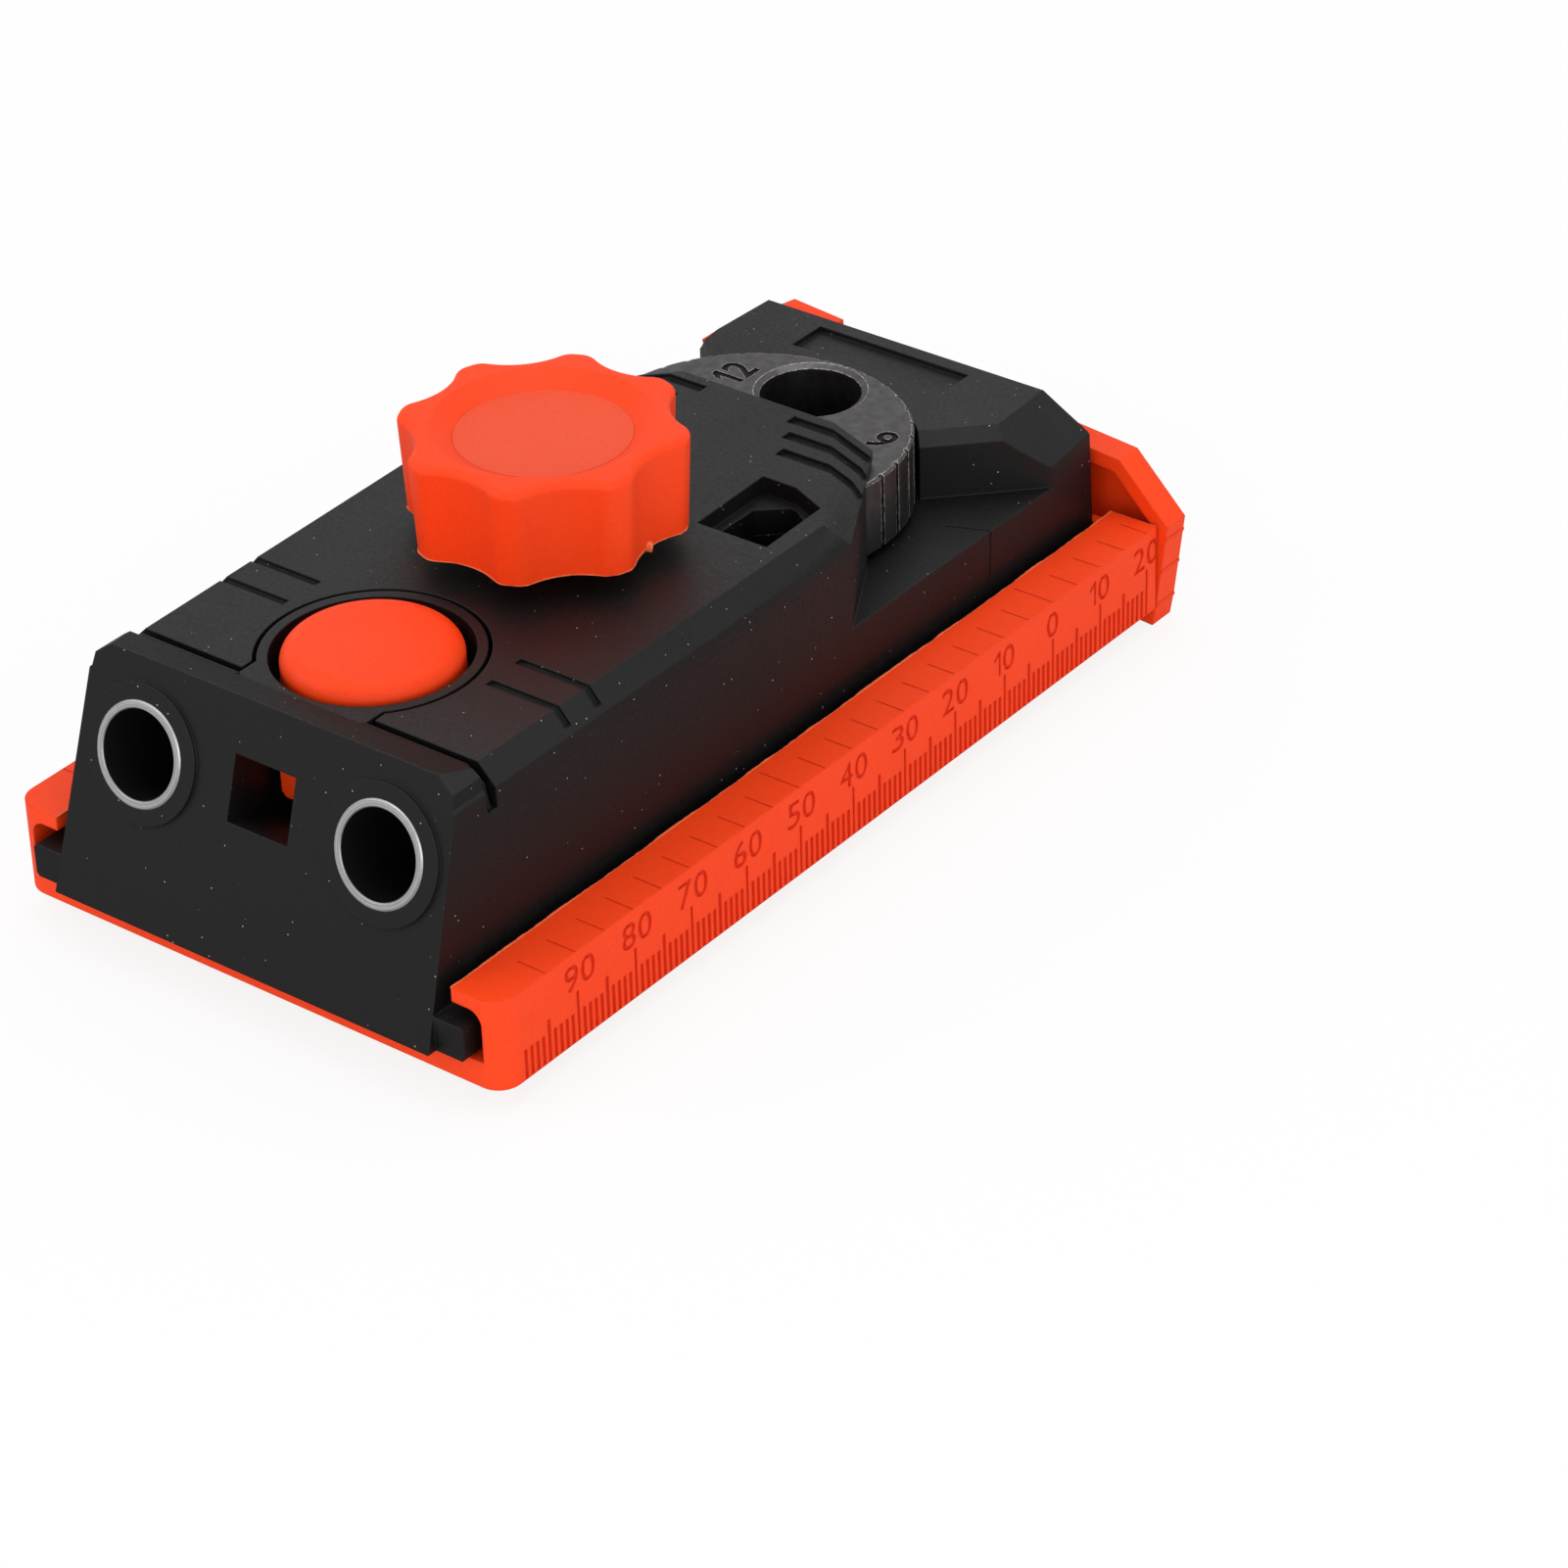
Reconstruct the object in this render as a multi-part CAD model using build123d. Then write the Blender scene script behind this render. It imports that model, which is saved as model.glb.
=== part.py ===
from build123d import *
import os
from math import cos, pi, radians, sin, tan

# Drill guide: a carriage with two slanted drill sleeves and a bit turret slides on a
# ruler base with a stop at its rear end.
# Lengths are in millimetres. X runs to the right rail, Y from the front to the stop,
# Z upwards. Heights below are taken from the underside of the base, and y = 0 is the
# line of the turret's working bore. Every piece is lowered by TURRET_TOP when it is
# written, so the origin is the centre of that bore's mouth.

# Ruler base
BASE_WIDTH = 71.3
BASE_FRONT = -103.0
BASE_REAR = 22.0
FLOOR = 3.6
RAIL_HEIGHT = 11.85
RAIL_WALL = 2.6
LIP_HALF_GAP = 29.05
LIP = 1.75
CORNER_R = 3.0
END_WALL = 1.4
END_WALL_HEIGHT = 10.6
BIT_SLOT_HALF = 6.8
BIT_SLOT_REAR = 8.5
SIDE_SLOT_INNER = 11.8
SIDE_SLOT_OUTER = 23.2
SIDE_SLOT_REAR = -6.0
SLOT_FRONT = -92.0

# Stop plate, turning on one screw at the rear end of the base
STOP_FRONT = 22.6
STOP_THICK = 3.9
STOP_SKIN = 1.2
STOP_RIM = 1.9
STOP_RIGHT = [(35.5, 0.4), (35.75, 3.4), (36.2, 14.9), (28.5, 21.45)]
STOP_LEFT = [(-24.1, 21.9), (-35.4, 13.3), (-35.0, 3.4), (-34.8, 0.4)]
STOP_NOTCH = [(16.4, 21.45), (15.2, 12.6), (-15.2, 12.6), (-16.4, 21.9)]
STOP_RIDGES = (3.4, 8.4, 13.0)
RIDGE_PROUD = 0.12
STOP_TILT = 5.0
PIVOT_HEIGHT = 6.0
STOP_BOSS_R = 3.4
STOP_SCREW_R = 1.45

# Carriage housing
SEAT_GAP = 0.3
LEAN = 17.0
FACE_Y = -99.9
FACE_Z = 22.9
HOUSING_REAR = 20.4
HALF_AT_SEAT = 27.6
HALF_AT_SEAM = 26.6
SEAM = 27.5
BEVEL_FOOT = 30.0
TOP_FRONT = 32.4
TOP_REAR = 33.2
TOP_HALF_FRONT = 24.1
TOP_HALF_REAR = 24.85
TOP_FRONT_Y = -92.0
TOP_REAR_Y = -10.0
FACE_FOOT_Y = -106.5
STRIP_REAR = -92.6
STRIP_TOP = 33.5
STRIP_HALF = 23.6
STRIP_FOOT = 31.9
STRIP_SHOULDER = 25.9
FLANGE_HALF = 31.7
FLANGE_TOP = 8.2
WALL = 2.4
DECK = 19.0
CAVITY_TOP = 24.9
CAVITY_BREAK = -36.0

# Slanted drill sleeves
SLEEVE_X = 17.5
SLEEVE_R = 6.2
SLEEVE_BORE_R = 5.2
SLEEVE_PROUD = 0.6
SLEEVE_LENGTH = 44.0
SLEEVE_BOSS_R = 8.1
FACE_RING = 0.4
LATCH_HALF = 4.4
LATCH_HEIGHT = 8.0
LATCH_X = 0.2
LATCH_UP = 0.45
LATCH_DEPTH = 12.0
LATCH_WALL = 3.0

# Button
BUTTON_Y = -80.2
BUTTON_R = 10.35
BUTTON_TOP = 34.0
BUTTON_ROUND = 2.3
HOOK_HALF = 3.0
HOOK_FRONT = -93.2
HOOK_BOTTOM = 19.3
HOOK_TOP = 24.5
WELL_R = 11.6
WELL_LOW_R = 11.0
WELL_FLOOR = 10.8
COLLAR_R = 12.8
COLLAR_GAP = 0.5
COLLAR_HALF = 9.2

# Clamp
CLAMP_Y = -49.5
CLAMP_SCREW_R = 3.95
KNOB_R = 16.95
KNOB_BOTTOM = 35.5
KNOB_TOP = 47.5
KNOB_DRAFT = 0.965
CAP_R = 10.3
CAP_BOTTOM = 44.2
HEAD_BOTTOM = 38.5
HEAD_TOP = 43.8
KNOB_LOBES = 8
KNOB_TURN = 25.0
SHOE_HALF_X = 9.0
SHOE_HALF_Y = 8.0
SHOE_BOTTOM = 3.7
SHOE_TOP = 7.3
NUT_FLATS = 13.0
NUT_BOTTOM = 19.5
NUT_TOP = 26.0

# Turret
TURRET_Y = -12.2
TURRET_R = 19.7
TURRET_BOTTOM = 19.9
TURRET_TOP = 29.6
TURRET_BORES = (6.2, 4.7, 3.2)
TURRET_FLUTES = 36
FLUTE_WIDTH = 0.7
FLUTE_DEPTH = 0.45
MOUTH_DEPTH = 0.45
MOUTH_WIDTH = 0.75
PIVOT_R = 2.6
PIVOT_HEAD_R = 3.9
BAY_R = 20.3
DETENT_Y = -27.6

# Cover
COVER_FRONT = -91.8
COVER_REAR = -10.3
COVER_REAR_HALF = 16.9
COVER_SIDE_END = -28.3
COVER_PLATE = 1.9
COVER_BOSS_TOP = 34.0
COVER_SCREW_Y = (-63.2, -36.0)
FRONT_GROOVES = ((-77.9, 14.8), (-72.7, 14.6))
FRONT_GROOVE_WIDTH = 1.2
FRONT_GROOVE_DEPTH = 0.5
REAR_GROOVES = ((-12.5, 6.5), (-15.8, 8.3), (-19.4, 10.1))
REAR_GROOVE_WIDTH = 1.7
REAR_GROOVE_DEPTH = 0.6

# Sight windows and the chip ways below them, on the right side
WINDOW = [(12.4, -37.9), (22.3, -37.8), (22.1, -27.3), (16.9, -25.1), (12.1, -25.1)]
CHIP_WAY = [(13.6, -36.7), (21.0, -36.7), (21.0, -28.4), (17.6, -26.2), (16.8, -26.2), (13.6, -29.0)]
CHIP_WALL = [(12.4, -37.9), (22.2, -37.9), (22.2, -27.6), (17.0, -25.2), (12.4, -25.2)]
CHIP_WALL_BOTTOM = 8.4
WINDOW_FLOOR = 30.8

SEAT = FLOOR + SEAT_GAP
SLOPE = tan(radians(LEAN))
AXIS_DIR = Vector(0, cos(radians(LEAN)), -sin(radians(LEAN)))


def face_y(z):
    """Y of the leaning front face at a height."""
    return FACE_Y + (z - FACE_Z) * SLOPE


def box(x0, x1, y0, y1, z0, z1):
    """Box between two corners."""
    centre = Pos((x0 + x1) / 2, (y0 + y1) / 2, (z0 + z1) / 2)
    return centre * Box(x1 - x0, y1 - y0, z1 - z0)


def post(x, y, r, z0, z1):
    """Upright cylinder."""
    return Pos(x, y, (z0 + z1) / 2) * Cylinder(r, z1 - z0)


def ring(x, y, r_out, r_in, z0, z1):
    """Upright ring."""
    return post(x, y, r_out, z0, z1) - post(x, y, r_in, z0 - 1, z1 + 1)


def lying(x, z, r, y0, y1):
    """Cylinder along Y."""
    return Pos(x, (y0 + y1) / 2, z) * Rot(90, 0, 0) * Cylinder(r, y1 - y0)


def hex_post(x, y, flats, z0, z1):
    """Upright hexagonal prism."""
    outline = RegularPolygon(flats / 2, 6, major_radius=False)
    return Pos(x, y, z0) * extrude(outline, z1 - z0)


def latch_plane():
    """Plane of the leaning face at the latch opening."""
    return Plane(origin=(LATCH_X, FACE_Y, FACE_Z), x_dir=(1, 0, 0), z_dir=AXIS_DIR)


def section_y(points, y0, y1):
    """Prism along Y of an outline given in X and Z."""
    outline = make_face(Polyline(*[(x, y0, z) for x, z in points], close=True))
    return extrude(outline, y1 - y0, dir=(0, 1, 0))


def section_x(points, half):
    """Prism along X, centred, of an outline given in Y and Z."""
    outline = make_face(Polyline(*[(-half, y, z) for y, z in points], close=True))
    return extrude(outline, 2 * half, dir=(1, 0, 0))


def plan(points, z0, z1):
    """Upright prism of an outline given in X and Y."""
    outline = make_face(Polyline(*[(x, y, z0) for x, y in points], close=True))
    return extrude(outline, z1 - z0, dir=(0, 0, 1))


def mirrored(shape):
    """A shape and its mirror image across the middle plane."""
    return shape + mirror(shape, about=Plane.YZ)


def above(a, b, c, size=60):
    """Block on the upper side of the plane through three points."""
    normal = (Vector(*b) - Vector(*a)).cross(Vector(*c) - Vector(*a))
    if normal.Z < 0:
        normal = normal * -1
    plane = Plane(origin=a, z_dir=normal)
    return plane * Pos(0, 0, size / 2) * Box(4 * size, 4 * size, size)


def slanted(side, r, start, end):
    """Cylinder on a sleeve's axis, from one distance past the face to another."""
    middle = Vector(side * SLEEVE_X, FACE_Y, FACE_Z) + AXIS_DIR * ((start + end) / 2)
    return Plane(origin=middle, z_dir=AXIS_DIR) * Cylinder(r, end - start)


def spring(x, y, r, wire, z0, z1, turns):
    """Coil spring standing on z0."""
    low, high = z0 + wire, z1 - wire
    path = Helix((high - low) / turns, high - low, r)
    start = path @ 0
    profile = Plane(origin=start, z_dir=path % 0) * RegularPolygon(wire, 6)
    return Pos(x, y, low) * sweep(profile, path=path)


def ruler_base():
    """Floor plate with two inward-lipped rails and a low end wall."""
    half = BASE_WIDTH / 2
    inner = half - RAIL_WALL
    fillet_r = 1.8
    low_lip = RAIL_HEIGHT - LIP
    length = BASE_REAR - BASE_FRONT
    middle = (BASE_FRONT + BASE_REAR) / 2
    block = Pos(0, middle, RAIL_HEIGHT / 2) * Box(BASE_WIDTH, length, RAIL_HEIGHT)
    body = fillet(block.edges().filter_by(Axis.Z).sort_by(Axis.Y)[:2], CORNER_R)
    body = fillet(body.faces().sort_by(Axis.Z)[0].edges(), 0.5)
    channel = section_y(
        [(-inner, FLOOR), (inner, FLOOR), (inner, low_lip), (-inner, low_lip)],
        BASE_FRONT - 1, BASE_REAR + 1,
    )
    upper = channel.edges().filter_by(Axis.Y).sort_by(Axis.Z)[2:]
    channel = fillet(upper, fillet_r)
    mouth = box(-LIP_HALF_GAP, LIP_HALF_GAP, BASE_FRONT - 1, BASE_REAR + 1, low_lip - 1, 20)
    body = body - channel - mouth
    body += box(-inner, inner, BASE_REAR - END_WALL, BASE_REAR, FLOOR - 1, END_WALL_HEIGHT)
    boss_end = STOP_FRONT + STOP_THICK - STOP_SKIN - 0.1
    body += lying(0, PIVOT_HEIGHT, STOP_BOSS_R, BASE_REAR - END_WALL, boss_end)
    body -= round_slot(0, BIT_SLOT_HALF, SLOT_FRONT, BIT_SLOT_REAR)
    side_middle = (SIDE_SLOT_INNER + SIDE_SLOT_OUTER) / 2
    side_half = (SIDE_SLOT_OUTER - SIDE_SLOT_INNER) / 2
    for side in (-1, 1):
        body -= round_slot(side * side_middle, side_half, SLOT_FRONT, SIDE_SLOT_REAR)
    body -= lying(0, PIVOT_HEIGHT, STOP_SCREW_R, BASE_REAR - END_WALL - 1, STOP_FRONT + STOP_THICK)
    return body


def round_slot(x, half, y0, y1):
    """Slot through the floor with round ends."""
    top = FLOOR + 0.01
    shape = box(x - half, x + half, y0 + half, y1 - half, -1, top)
    return shape + post(x, y0 + half, half, -1, top) + post(x, y1 - half, half, -1, top)


def tilt_stop(shape):
    """Turn a piece about the stop's pivot by the rest tilt."""
    return Pos(0, 0, PIVOT_HEIGHT) * Rot(0, STOP_TILT, 0) * Pos(0, 0, -PIVOT_HEIGHT) * shape


def stop_face(y):
    """Outline of the stop plate, standing at y."""
    points = STOP_RIGHT + STOP_NOTCH + STOP_LEFT
    outline = make_face(Polyline(*points, close=True))
    return Plane(origin=(0, y, 0), x_dir=(1, 0, 0), z_dir=(0, -1, 0)) * outline


def end_stop():
    """Shallow moulded tray with two ears, open to the front."""
    rear = STOP_FRONT + STOP_THICK
    body = extrude(stop_face(STOP_FRONT), STOP_THICK, dir=(0, 1, 0))
    inner = offset(stop_face(STOP_FRONT - 1), -STOP_RIM, kind=Kind.INTERSECTION)
    body -= extrude(inner, STOP_THICK + 1 - STOP_SKIN, dir=(0, 1, 0))
    for z in STOP_RIDGES:
        right = 35.62 + 0.039 * z + RIDGE_PROUD
        left = -34.86 - 0.041 * z - RIDGE_PROUD
        body += box(right - 0.5, right, STOP_FRONT, rear, z - 0.2, z + 0.2)
        body += box(left, left + 0.5, STOP_FRONT, rear, z - 0.2, z + 0.2)
    body -= lying(0, PIVOT_HEIGHT, STOP_SCREW_R + 0.1, STOP_FRONT, rear + 1)
    return tilt_stop(body)


def stop_screw():
    """Pan-head screw in the base's boss."""
    rear = STOP_FRONT + STOP_THICK
    head = rear + 0.6
    shank = lying(0, PIVOT_HEIGHT, STOP_SCREW_R, BASE_REAR - END_WALL, head + 0.5)
    cap = lying(0, PIVOT_HEIGHT, 2.9, head, head + 1.8)
    cap = fillet(cap.edges().sort_by(Axis.Y)[-1], 0.8)
    recess = Pos(0, head + 1.6, PIVOT_HEIGHT) * (Box(0.7, 1.4, 3.0) + Box(3.0, 1.4, 0.7))
    return shank + cap - recess


def stop_washer():
    """Flat washer under the screw head."""
    rear = STOP_FRONT + STOP_THICK
    plate = lying(0, PIVOT_HEIGHT, 3.8, rear + 0.1, rear + 0.6)
    return plate - lying(0, PIVOT_HEIGHT, STOP_SCREW_R, rear, rear + 2)


def carriage_envelope():
    """Outside of the carriage housing before any cut."""
    front = face_y(SEAT) - 2
    sides = section_y(
        [(-HALF_AT_SEAT, SEAT), (HALF_AT_SEAT, SEAT), (HALF_AT_SEAM, SEAM), (-HALF_AT_SEAM, SEAM)],
        front, HOUSING_REAR,
    )
    strip = raised_block(FACE_FOOT_Y, STRIP_REAR) + front_strip()
    lean = section_x(
        [(face_y(0), 0), (face_y(40), 40), (HOUSING_REAR + 5, 40), (HOUSING_REAR + 5, 0)], 40,
    )
    flange = box(-FLANGE_HALF, FLANGE_HALF, -104.4, HOUSING_REAR, SEAT, FLANGE_TOP)
    flange = chamfer(flange.edges().filter_by(Axis.Y), 0.4)
    shape = (sides + strip) & lean
    rear_bevel = section_x(
        [(19.0, 28), (19.0, SEAM), (HOUSING_REAR, 23.0), (22, 23.0), (22, 28)], 40,
    )
    shape = shape - rear_side_bevels() - rear_bevel
    return shape + flange


def front_strip():
    """Head of the face plate, standing a little above the cover."""
    right = [(HALF_AT_SEAM, SEAM), (STRIP_SHOULDER, STRIP_FOOT), (STRIP_HALF, STRIP_TOP)]
    points = right + [(-x, z) for x, z in reversed(right)]
    return section_y(points, FACE_FOOT_Y, STRIP_REAR)


def raised_section(y, inset=0.0, z_low=SEAM):
    """Outline at y of the raised top, which widens and rises a little to the rear."""
    share = (y - TOP_FRONT_Y) / (TOP_REAR_Y - TOP_FRONT_Y)
    top = TOP_FRONT + share * (TOP_REAR - TOP_FRONT) - inset
    half = TOP_HALF_FRONT + share * (TOP_HALF_REAR - TOP_HALF_FRONT) - 0.6 * inset
    foot = HALF_AT_SEAM - 0.1 - inset
    right = [(foot + 0.1, z_low), (foot, BEVEL_FOOT - 0.5 * inset), (half, top)]
    points = right + [(-x, z) for x, z in reversed(right)]
    return make_face(Polyline(*[(x, y, z) for x, z in points], close=True))


def raised_block(y0, y1, inset=0.0, z_low=SEAM):
    """Raised top of the carriage between two stations."""
    return loft([raised_section(y0, inset, z_low), raised_section(y1, inset, z_low)], ruled=True)


def rear_side_bevels():
    """Bevels along both sides of the rear block's top."""
    def section(y, edge, side_low):
        points = [(edge, y, SEAM), (30.0, y, side_low), (40.0, y, side_low), (40.0, y, 40.0), (edge, y, 40.0)]
        return make_face(Polyline(*points, close=True))

    cut = loft([section(-4.0, 21.9, 15.4), section(21.0, 20.85, 20.24)], ruled=True)
    return mirrored(cut)


def turret_bay():
    """Space round the turret, open to both sides."""
    line = 14.6
    reach = 30.0
    slope = (COVER_SIDE_END - COVER_REAR) / (27.0 - COVER_REAR_HALF)
    far = COVER_REAR + slope * (reach - COVER_REAR_HALF)
    side = plan(
        [(COVER_REAR_HALF, COVER_REAR), (reach, far), (reach, reach - line), (15.4, 15.4 - line)],
        DECK, 40,
    )
    inner = plan(
        [(0, COVER_REAR), (COVER_REAR_HALF, COVER_REAR), (15.4, 15.4 - line), (0, 5)], DECK, 40,
    )
    band = Plane(origin=(15.0, 15.0 - line, 0), x_dir=(-1, 1, 0), z_dir=(1, 1, 0))
    wedge = make_face(Polyline((-1, 26.0 - 0.9), (1.6, SEAM), (1.6, 30), (-1, 30), close=True))
    wedge = band * extrude(wedge, 24)
    return post(0, TURRET_Y, BAY_R, DECK, 40) + mirrored(side + inner + wedge)


def housing_cavity():
    """Hollow underside of the housing."""
    lean_inset = WALL + 0.4
    outline = [
        (face_y(SEAT - 1) + lean_inset, SEAT - 1), (face_y(CAVITY_TOP) + lean_inset, CAVITY_TOP),
        (CAVITY_BREAK, CAVITY_TOP), (CAVITY_BREAK, DECK - 2.6), (HOUSING_REAR - WALL, DECK - 2.6),
        (HOUSING_REAR - WALL, SEAT - 1),
    ]
    return section_x(outline, HALF_AT_SEAM - WALL)


def housing_bosses():
    """Bosses and ribs that carry the pieces inside the housing."""
    bosses = slanted(-1, SLEEVE_BOSS_R, 1, 78) + slanted(1, SLEEVE_BOSS_R, 1, 78)
    bosses += post(0, BUTTON_Y, WELL_R + 1.6, WELL_FLOOR - 2, SEAM)
    bosses += post(0, CLAMP_Y, 9.6, 12.5, SEAM)
    bosses += box(-10.6, 10.6, CLAMP_Y - 10, CLAMP_Y + 10, SEAT, 13)
    bosses += post(0, TURRET_Y, PIVOT_R + 2.6, 7.0, DECK)
    bosses += post(0, 0, 9.0, SEAT, DECK)
    bosses += post(0, DETENT_Y, 4.0, 7.0, DECK)
    for y in COVER_SCREW_Y:
        bosses += post(0, y, 3.6, 12.0, SEAM)
    for y in (-66.6, -33.0, 9.0):
        bosses += box(-26, 26, y - 0.8, y + 0.8, SEAT + 1.5, DECK)
    bosses += mirrored(plan(CHIP_WALL, CHIP_WALL_BOTTOM, SEAM))
    tunnel = Box(2 * LATCH_HALF + LATCH_WALL, LATCH_HEIGHT + LATCH_WALL, LATCH_DEPTH - 1)
    bosses += latch_plane() * Pos(0, -LATCH_UP, LATCH_DEPTH / 2) * tunnel
    return bosses


def carriage_housing():
    """Moulded body with flanges, front face, button well and turret bay."""
    envelope = carriage_envelope()
    body = envelope - housing_cavity()
    body += housing_bosses() & envelope
    body -= turret_bay()
    collar = post(0, BUTTON_Y, COLLAR_R, SEAM - 0.1, 40)
    collar += box(-COLLAR_HALF, COLLAR_HALF, STRIP_REAR - 1, BUTTON_Y - 8, SEAM - 0.1, 40)
    body += collar & raised_block(FACE_FOOT_Y, TOP_REAR_Y, z_low=SEAM - 0.1)
    for side in (-1, 1):
        body += slanted(side, SLEEVE_BOSS_R + 0.1, -FACE_RING, 1.0)
        body -= slanted(side, SLEEVE_R, -2, SLEEVE_LENGTH - SLEEVE_PROUD)
        bit_way = slanted(side, SLEEVE_BORE_R + 0.3, SLEEVE_LENGTH - SLEEVE_PROUD - 1, 110)
        body -= bit_way & box(-30, 30, -110, 30, SEAT - 3, 16)
    body -= post(0, BUTTON_Y, WELL_R, SEAM - 0.5, 40)
    body -= post(0, BUTTON_Y, WELL_LOW_R, WELL_FLOOR, 40)
    opening = Box(2 * LATCH_HALF, LATCH_HEIGHT, LATCH_DEPTH + 6)
    body -= latch_plane() * Pos(0, -LATCH_UP, LATCH_DEPTH / 2 - 2) * opening
    body -= post(0, CLAMP_Y, CLAMP_SCREW_R + 0.5, 0, 40)
    body -= hex_post(0, CLAMP_Y, NUT_FLATS, 10.4, NUT_TOP)
    body -= box(-SHOE_HALF_X - 0.4, SHOE_HALF_X + 0.4, CLAMP_Y - SHOE_HALF_Y - 0.4,
                CLAMP_Y + SHOE_HALF_Y + 0.4, 0, 10.6)
    body -= post(0, TURRET_Y, PIVOT_R, 8.5, 40)
    body -= post(0, 0, TURRET_BORES[0] + 0.4, 0, 40)
    body -= post(0, DETENT_Y, 2.15, 9.0, 40)
    for y in COVER_SCREW_Y:
        body -= post(0, y, 1.6, 13, 40) + post(0, y, 3.0, 0, 14.0)
    body -= mirrored(plan(CHIP_WAY, 0, 40))
    body -= box(-11.3, 11.3, 11.1, 17.0, SEAM - 0.7, SEAM + 1)
    return body


def drill_sleeve(side):
    """Steel sleeve with a chamfered mouth, standing a little proud of the face."""
    tube = slanted(side, SLEEVE_R, -SLEEVE_PROUD, SLEEVE_LENGTH - SLEEVE_PROUD)
    tube -= slanted(side, SLEEVE_BORE_R, -5, SLEEVE_LENGTH + 5)
    mouth = [e for e in tube.edges().filter_by(GeomType.CIRCLE)]
    mouth = sorted(mouth, key=lambda e: e.center().Y)[:2]
    return chamfer(mouth, 0.15)


def top_cover():
    """Cap over the front of the carriage with finger grooves and two sight windows."""
    cut = cover_ends()
    outer = raised_block(COVER_FRONT, COVER_REAR) - cut
    side = HALF_AT_SEAM - 2.2
    hollow_top = TOP_FRONT - COVER_PLATE
    body = outer - box(-side, side, COVER_FRONT + 2.2, CAVITY_BREAK - 1.0, SEAM - 1, hollow_top)
    keep = post(0, BUTTON_Y, COLLAR_R + 2.4, SEAM, 40) + post(0, CLAMP_Y, 8.0, SEAM, 40)
    for y in COVER_SCREW_Y:
        keep += post(0, y, 3.4, SEAM, 40)
    rib = 1.6
    for y in (-66.6, -57.0):
        keep += box(-25, 25, y - rib / 2, y + rib / 2, SEAM, 40)
    body += keep & outer
    body -= post(0, TURRET_Y, BAY_R, SEAM - 1, TURRET_TOP + 0.4)
    body += post(0, CLAMP_Y, 7.0, TOP_FRONT - 1, COVER_BOSS_TOP)
    body -= post(0, CLAMP_Y, CLAMP_SCREW_R + 0.5, 0, 60)
    body -= post(0, BUTTON_Y, COLLAR_R + COLLAR_GAP, 0, 60)
    body -= box(-9.7, 9.7, COVER_FRONT - 1, BUTTON_Y - 9.0, 0, 60)
    body -= mirrored(plan(WINDOW, WINDOW_FLOOR, 60) + plan(CHIP_WAY, 0, 60))
    for y in COVER_SCREW_Y:
        body -= post(0, y, 1.4, SEAM - 1, 31.6)
    return body - cover_grooves(cut)


def cover_ends():
    """What the cover's slanted rear corners leave out."""
    side_x = 27.0
    slope = (COVER_SIDE_END - COVER_REAR) / (side_x - COVER_REAR_HALF)
    reach = 32.0
    far = COVER_REAR + slope * (reach - COVER_REAR_HALF)
    corner = plan(
        [(COVER_REAR_HALF, COVER_REAR), (COVER_REAR_HALF, 0), (reach, 0), (reach, far)], 20, 40,
    )
    a = (24.7, -30.2, 33.0)
    b = (26.7, COVER_SIDE_END, 30.0)
    c = (COVER_REAR_HALF, COVER_REAR, 31.2)
    d = (11.4, COVER_REAR, TOP_REAR)
    return mirrored(corner + above(a, b, c) + above(a, d, c))


def groove_cuts(places, width, depth, low, ends):
    """Finger grooves on the right side, each to one depth below the skin."""
    outer = raised_block(COVER_FRONT - 1, COVER_REAR + 1, z_low=SEAM - 1)
    core = raised_block(COVER_FRONT - 2, COVER_REAR + 2, inset=depth, z_low=SEAM - 2)
    skin = outer - (core - Pos(0, 0, -depth) * ends)
    bars = [box(x_in, 30, y - width / 2, y + width / 2, low, 40) for y, x_in in places]
    return (Part() + bars) & skin


def cover_grooves(ends):
    """Shallow finger grooves across the cover's four corners."""
    front = groove_cuts(FRONT_GROOVES, FRONT_GROOVE_WIDTH, FRONT_GROOVE_DEPTH, 30.6, ends)
    rear = groove_cuts(REAR_GROOVES, REAR_GROOVE_WIDTH, REAR_GROOVE_DEPTH, 28.6, ends)
    return mirrored(front + rear)


def release_button():
    """Round push button with a hooked latch leg and a rear guide leg."""
    cap = post(0, BUTTON_Y, BUTTON_R, 28.0, BUTTON_TOP)
    cap = fillet(cap.edges().sort_by(Axis.Z)[-1], BUTTON_ROUND)
    cap -= post(0, BUTTON_Y, BUTTON_R - 2.2, 27, 31.4)
    half = HOOK_HALF
    leg = box(-half, half, BUTTON_Y - 9.2, BUTTON_Y - 6.6, HOOK_BOTTOM, 31.6)
    hook = box(-half, half, HOOK_FRONT, BUTTON_Y - 9.0, HOOK_BOTTOM, HOOK_TOP)
    hook = chamfer(hook.edges().filter_by(Axis.Y).sort_by(Axis.Z)[:2], 0.6)
    guide = box(-4, 4, BUTTON_Y + 6.6, BUTTON_Y + 8.6, 20.0, 31.6)
    core = ring(0, BUTTON_Y, 3.4, 2.2, 24.0, 31.6)
    return cap + leg + hook + guide + core


def button_spring():
    """Coil spring between the well floor and the button."""
    return spring(0, BUTTON_Y, 4.6, 0.45, WELL_FLOOR, 31.4, 6)


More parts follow.
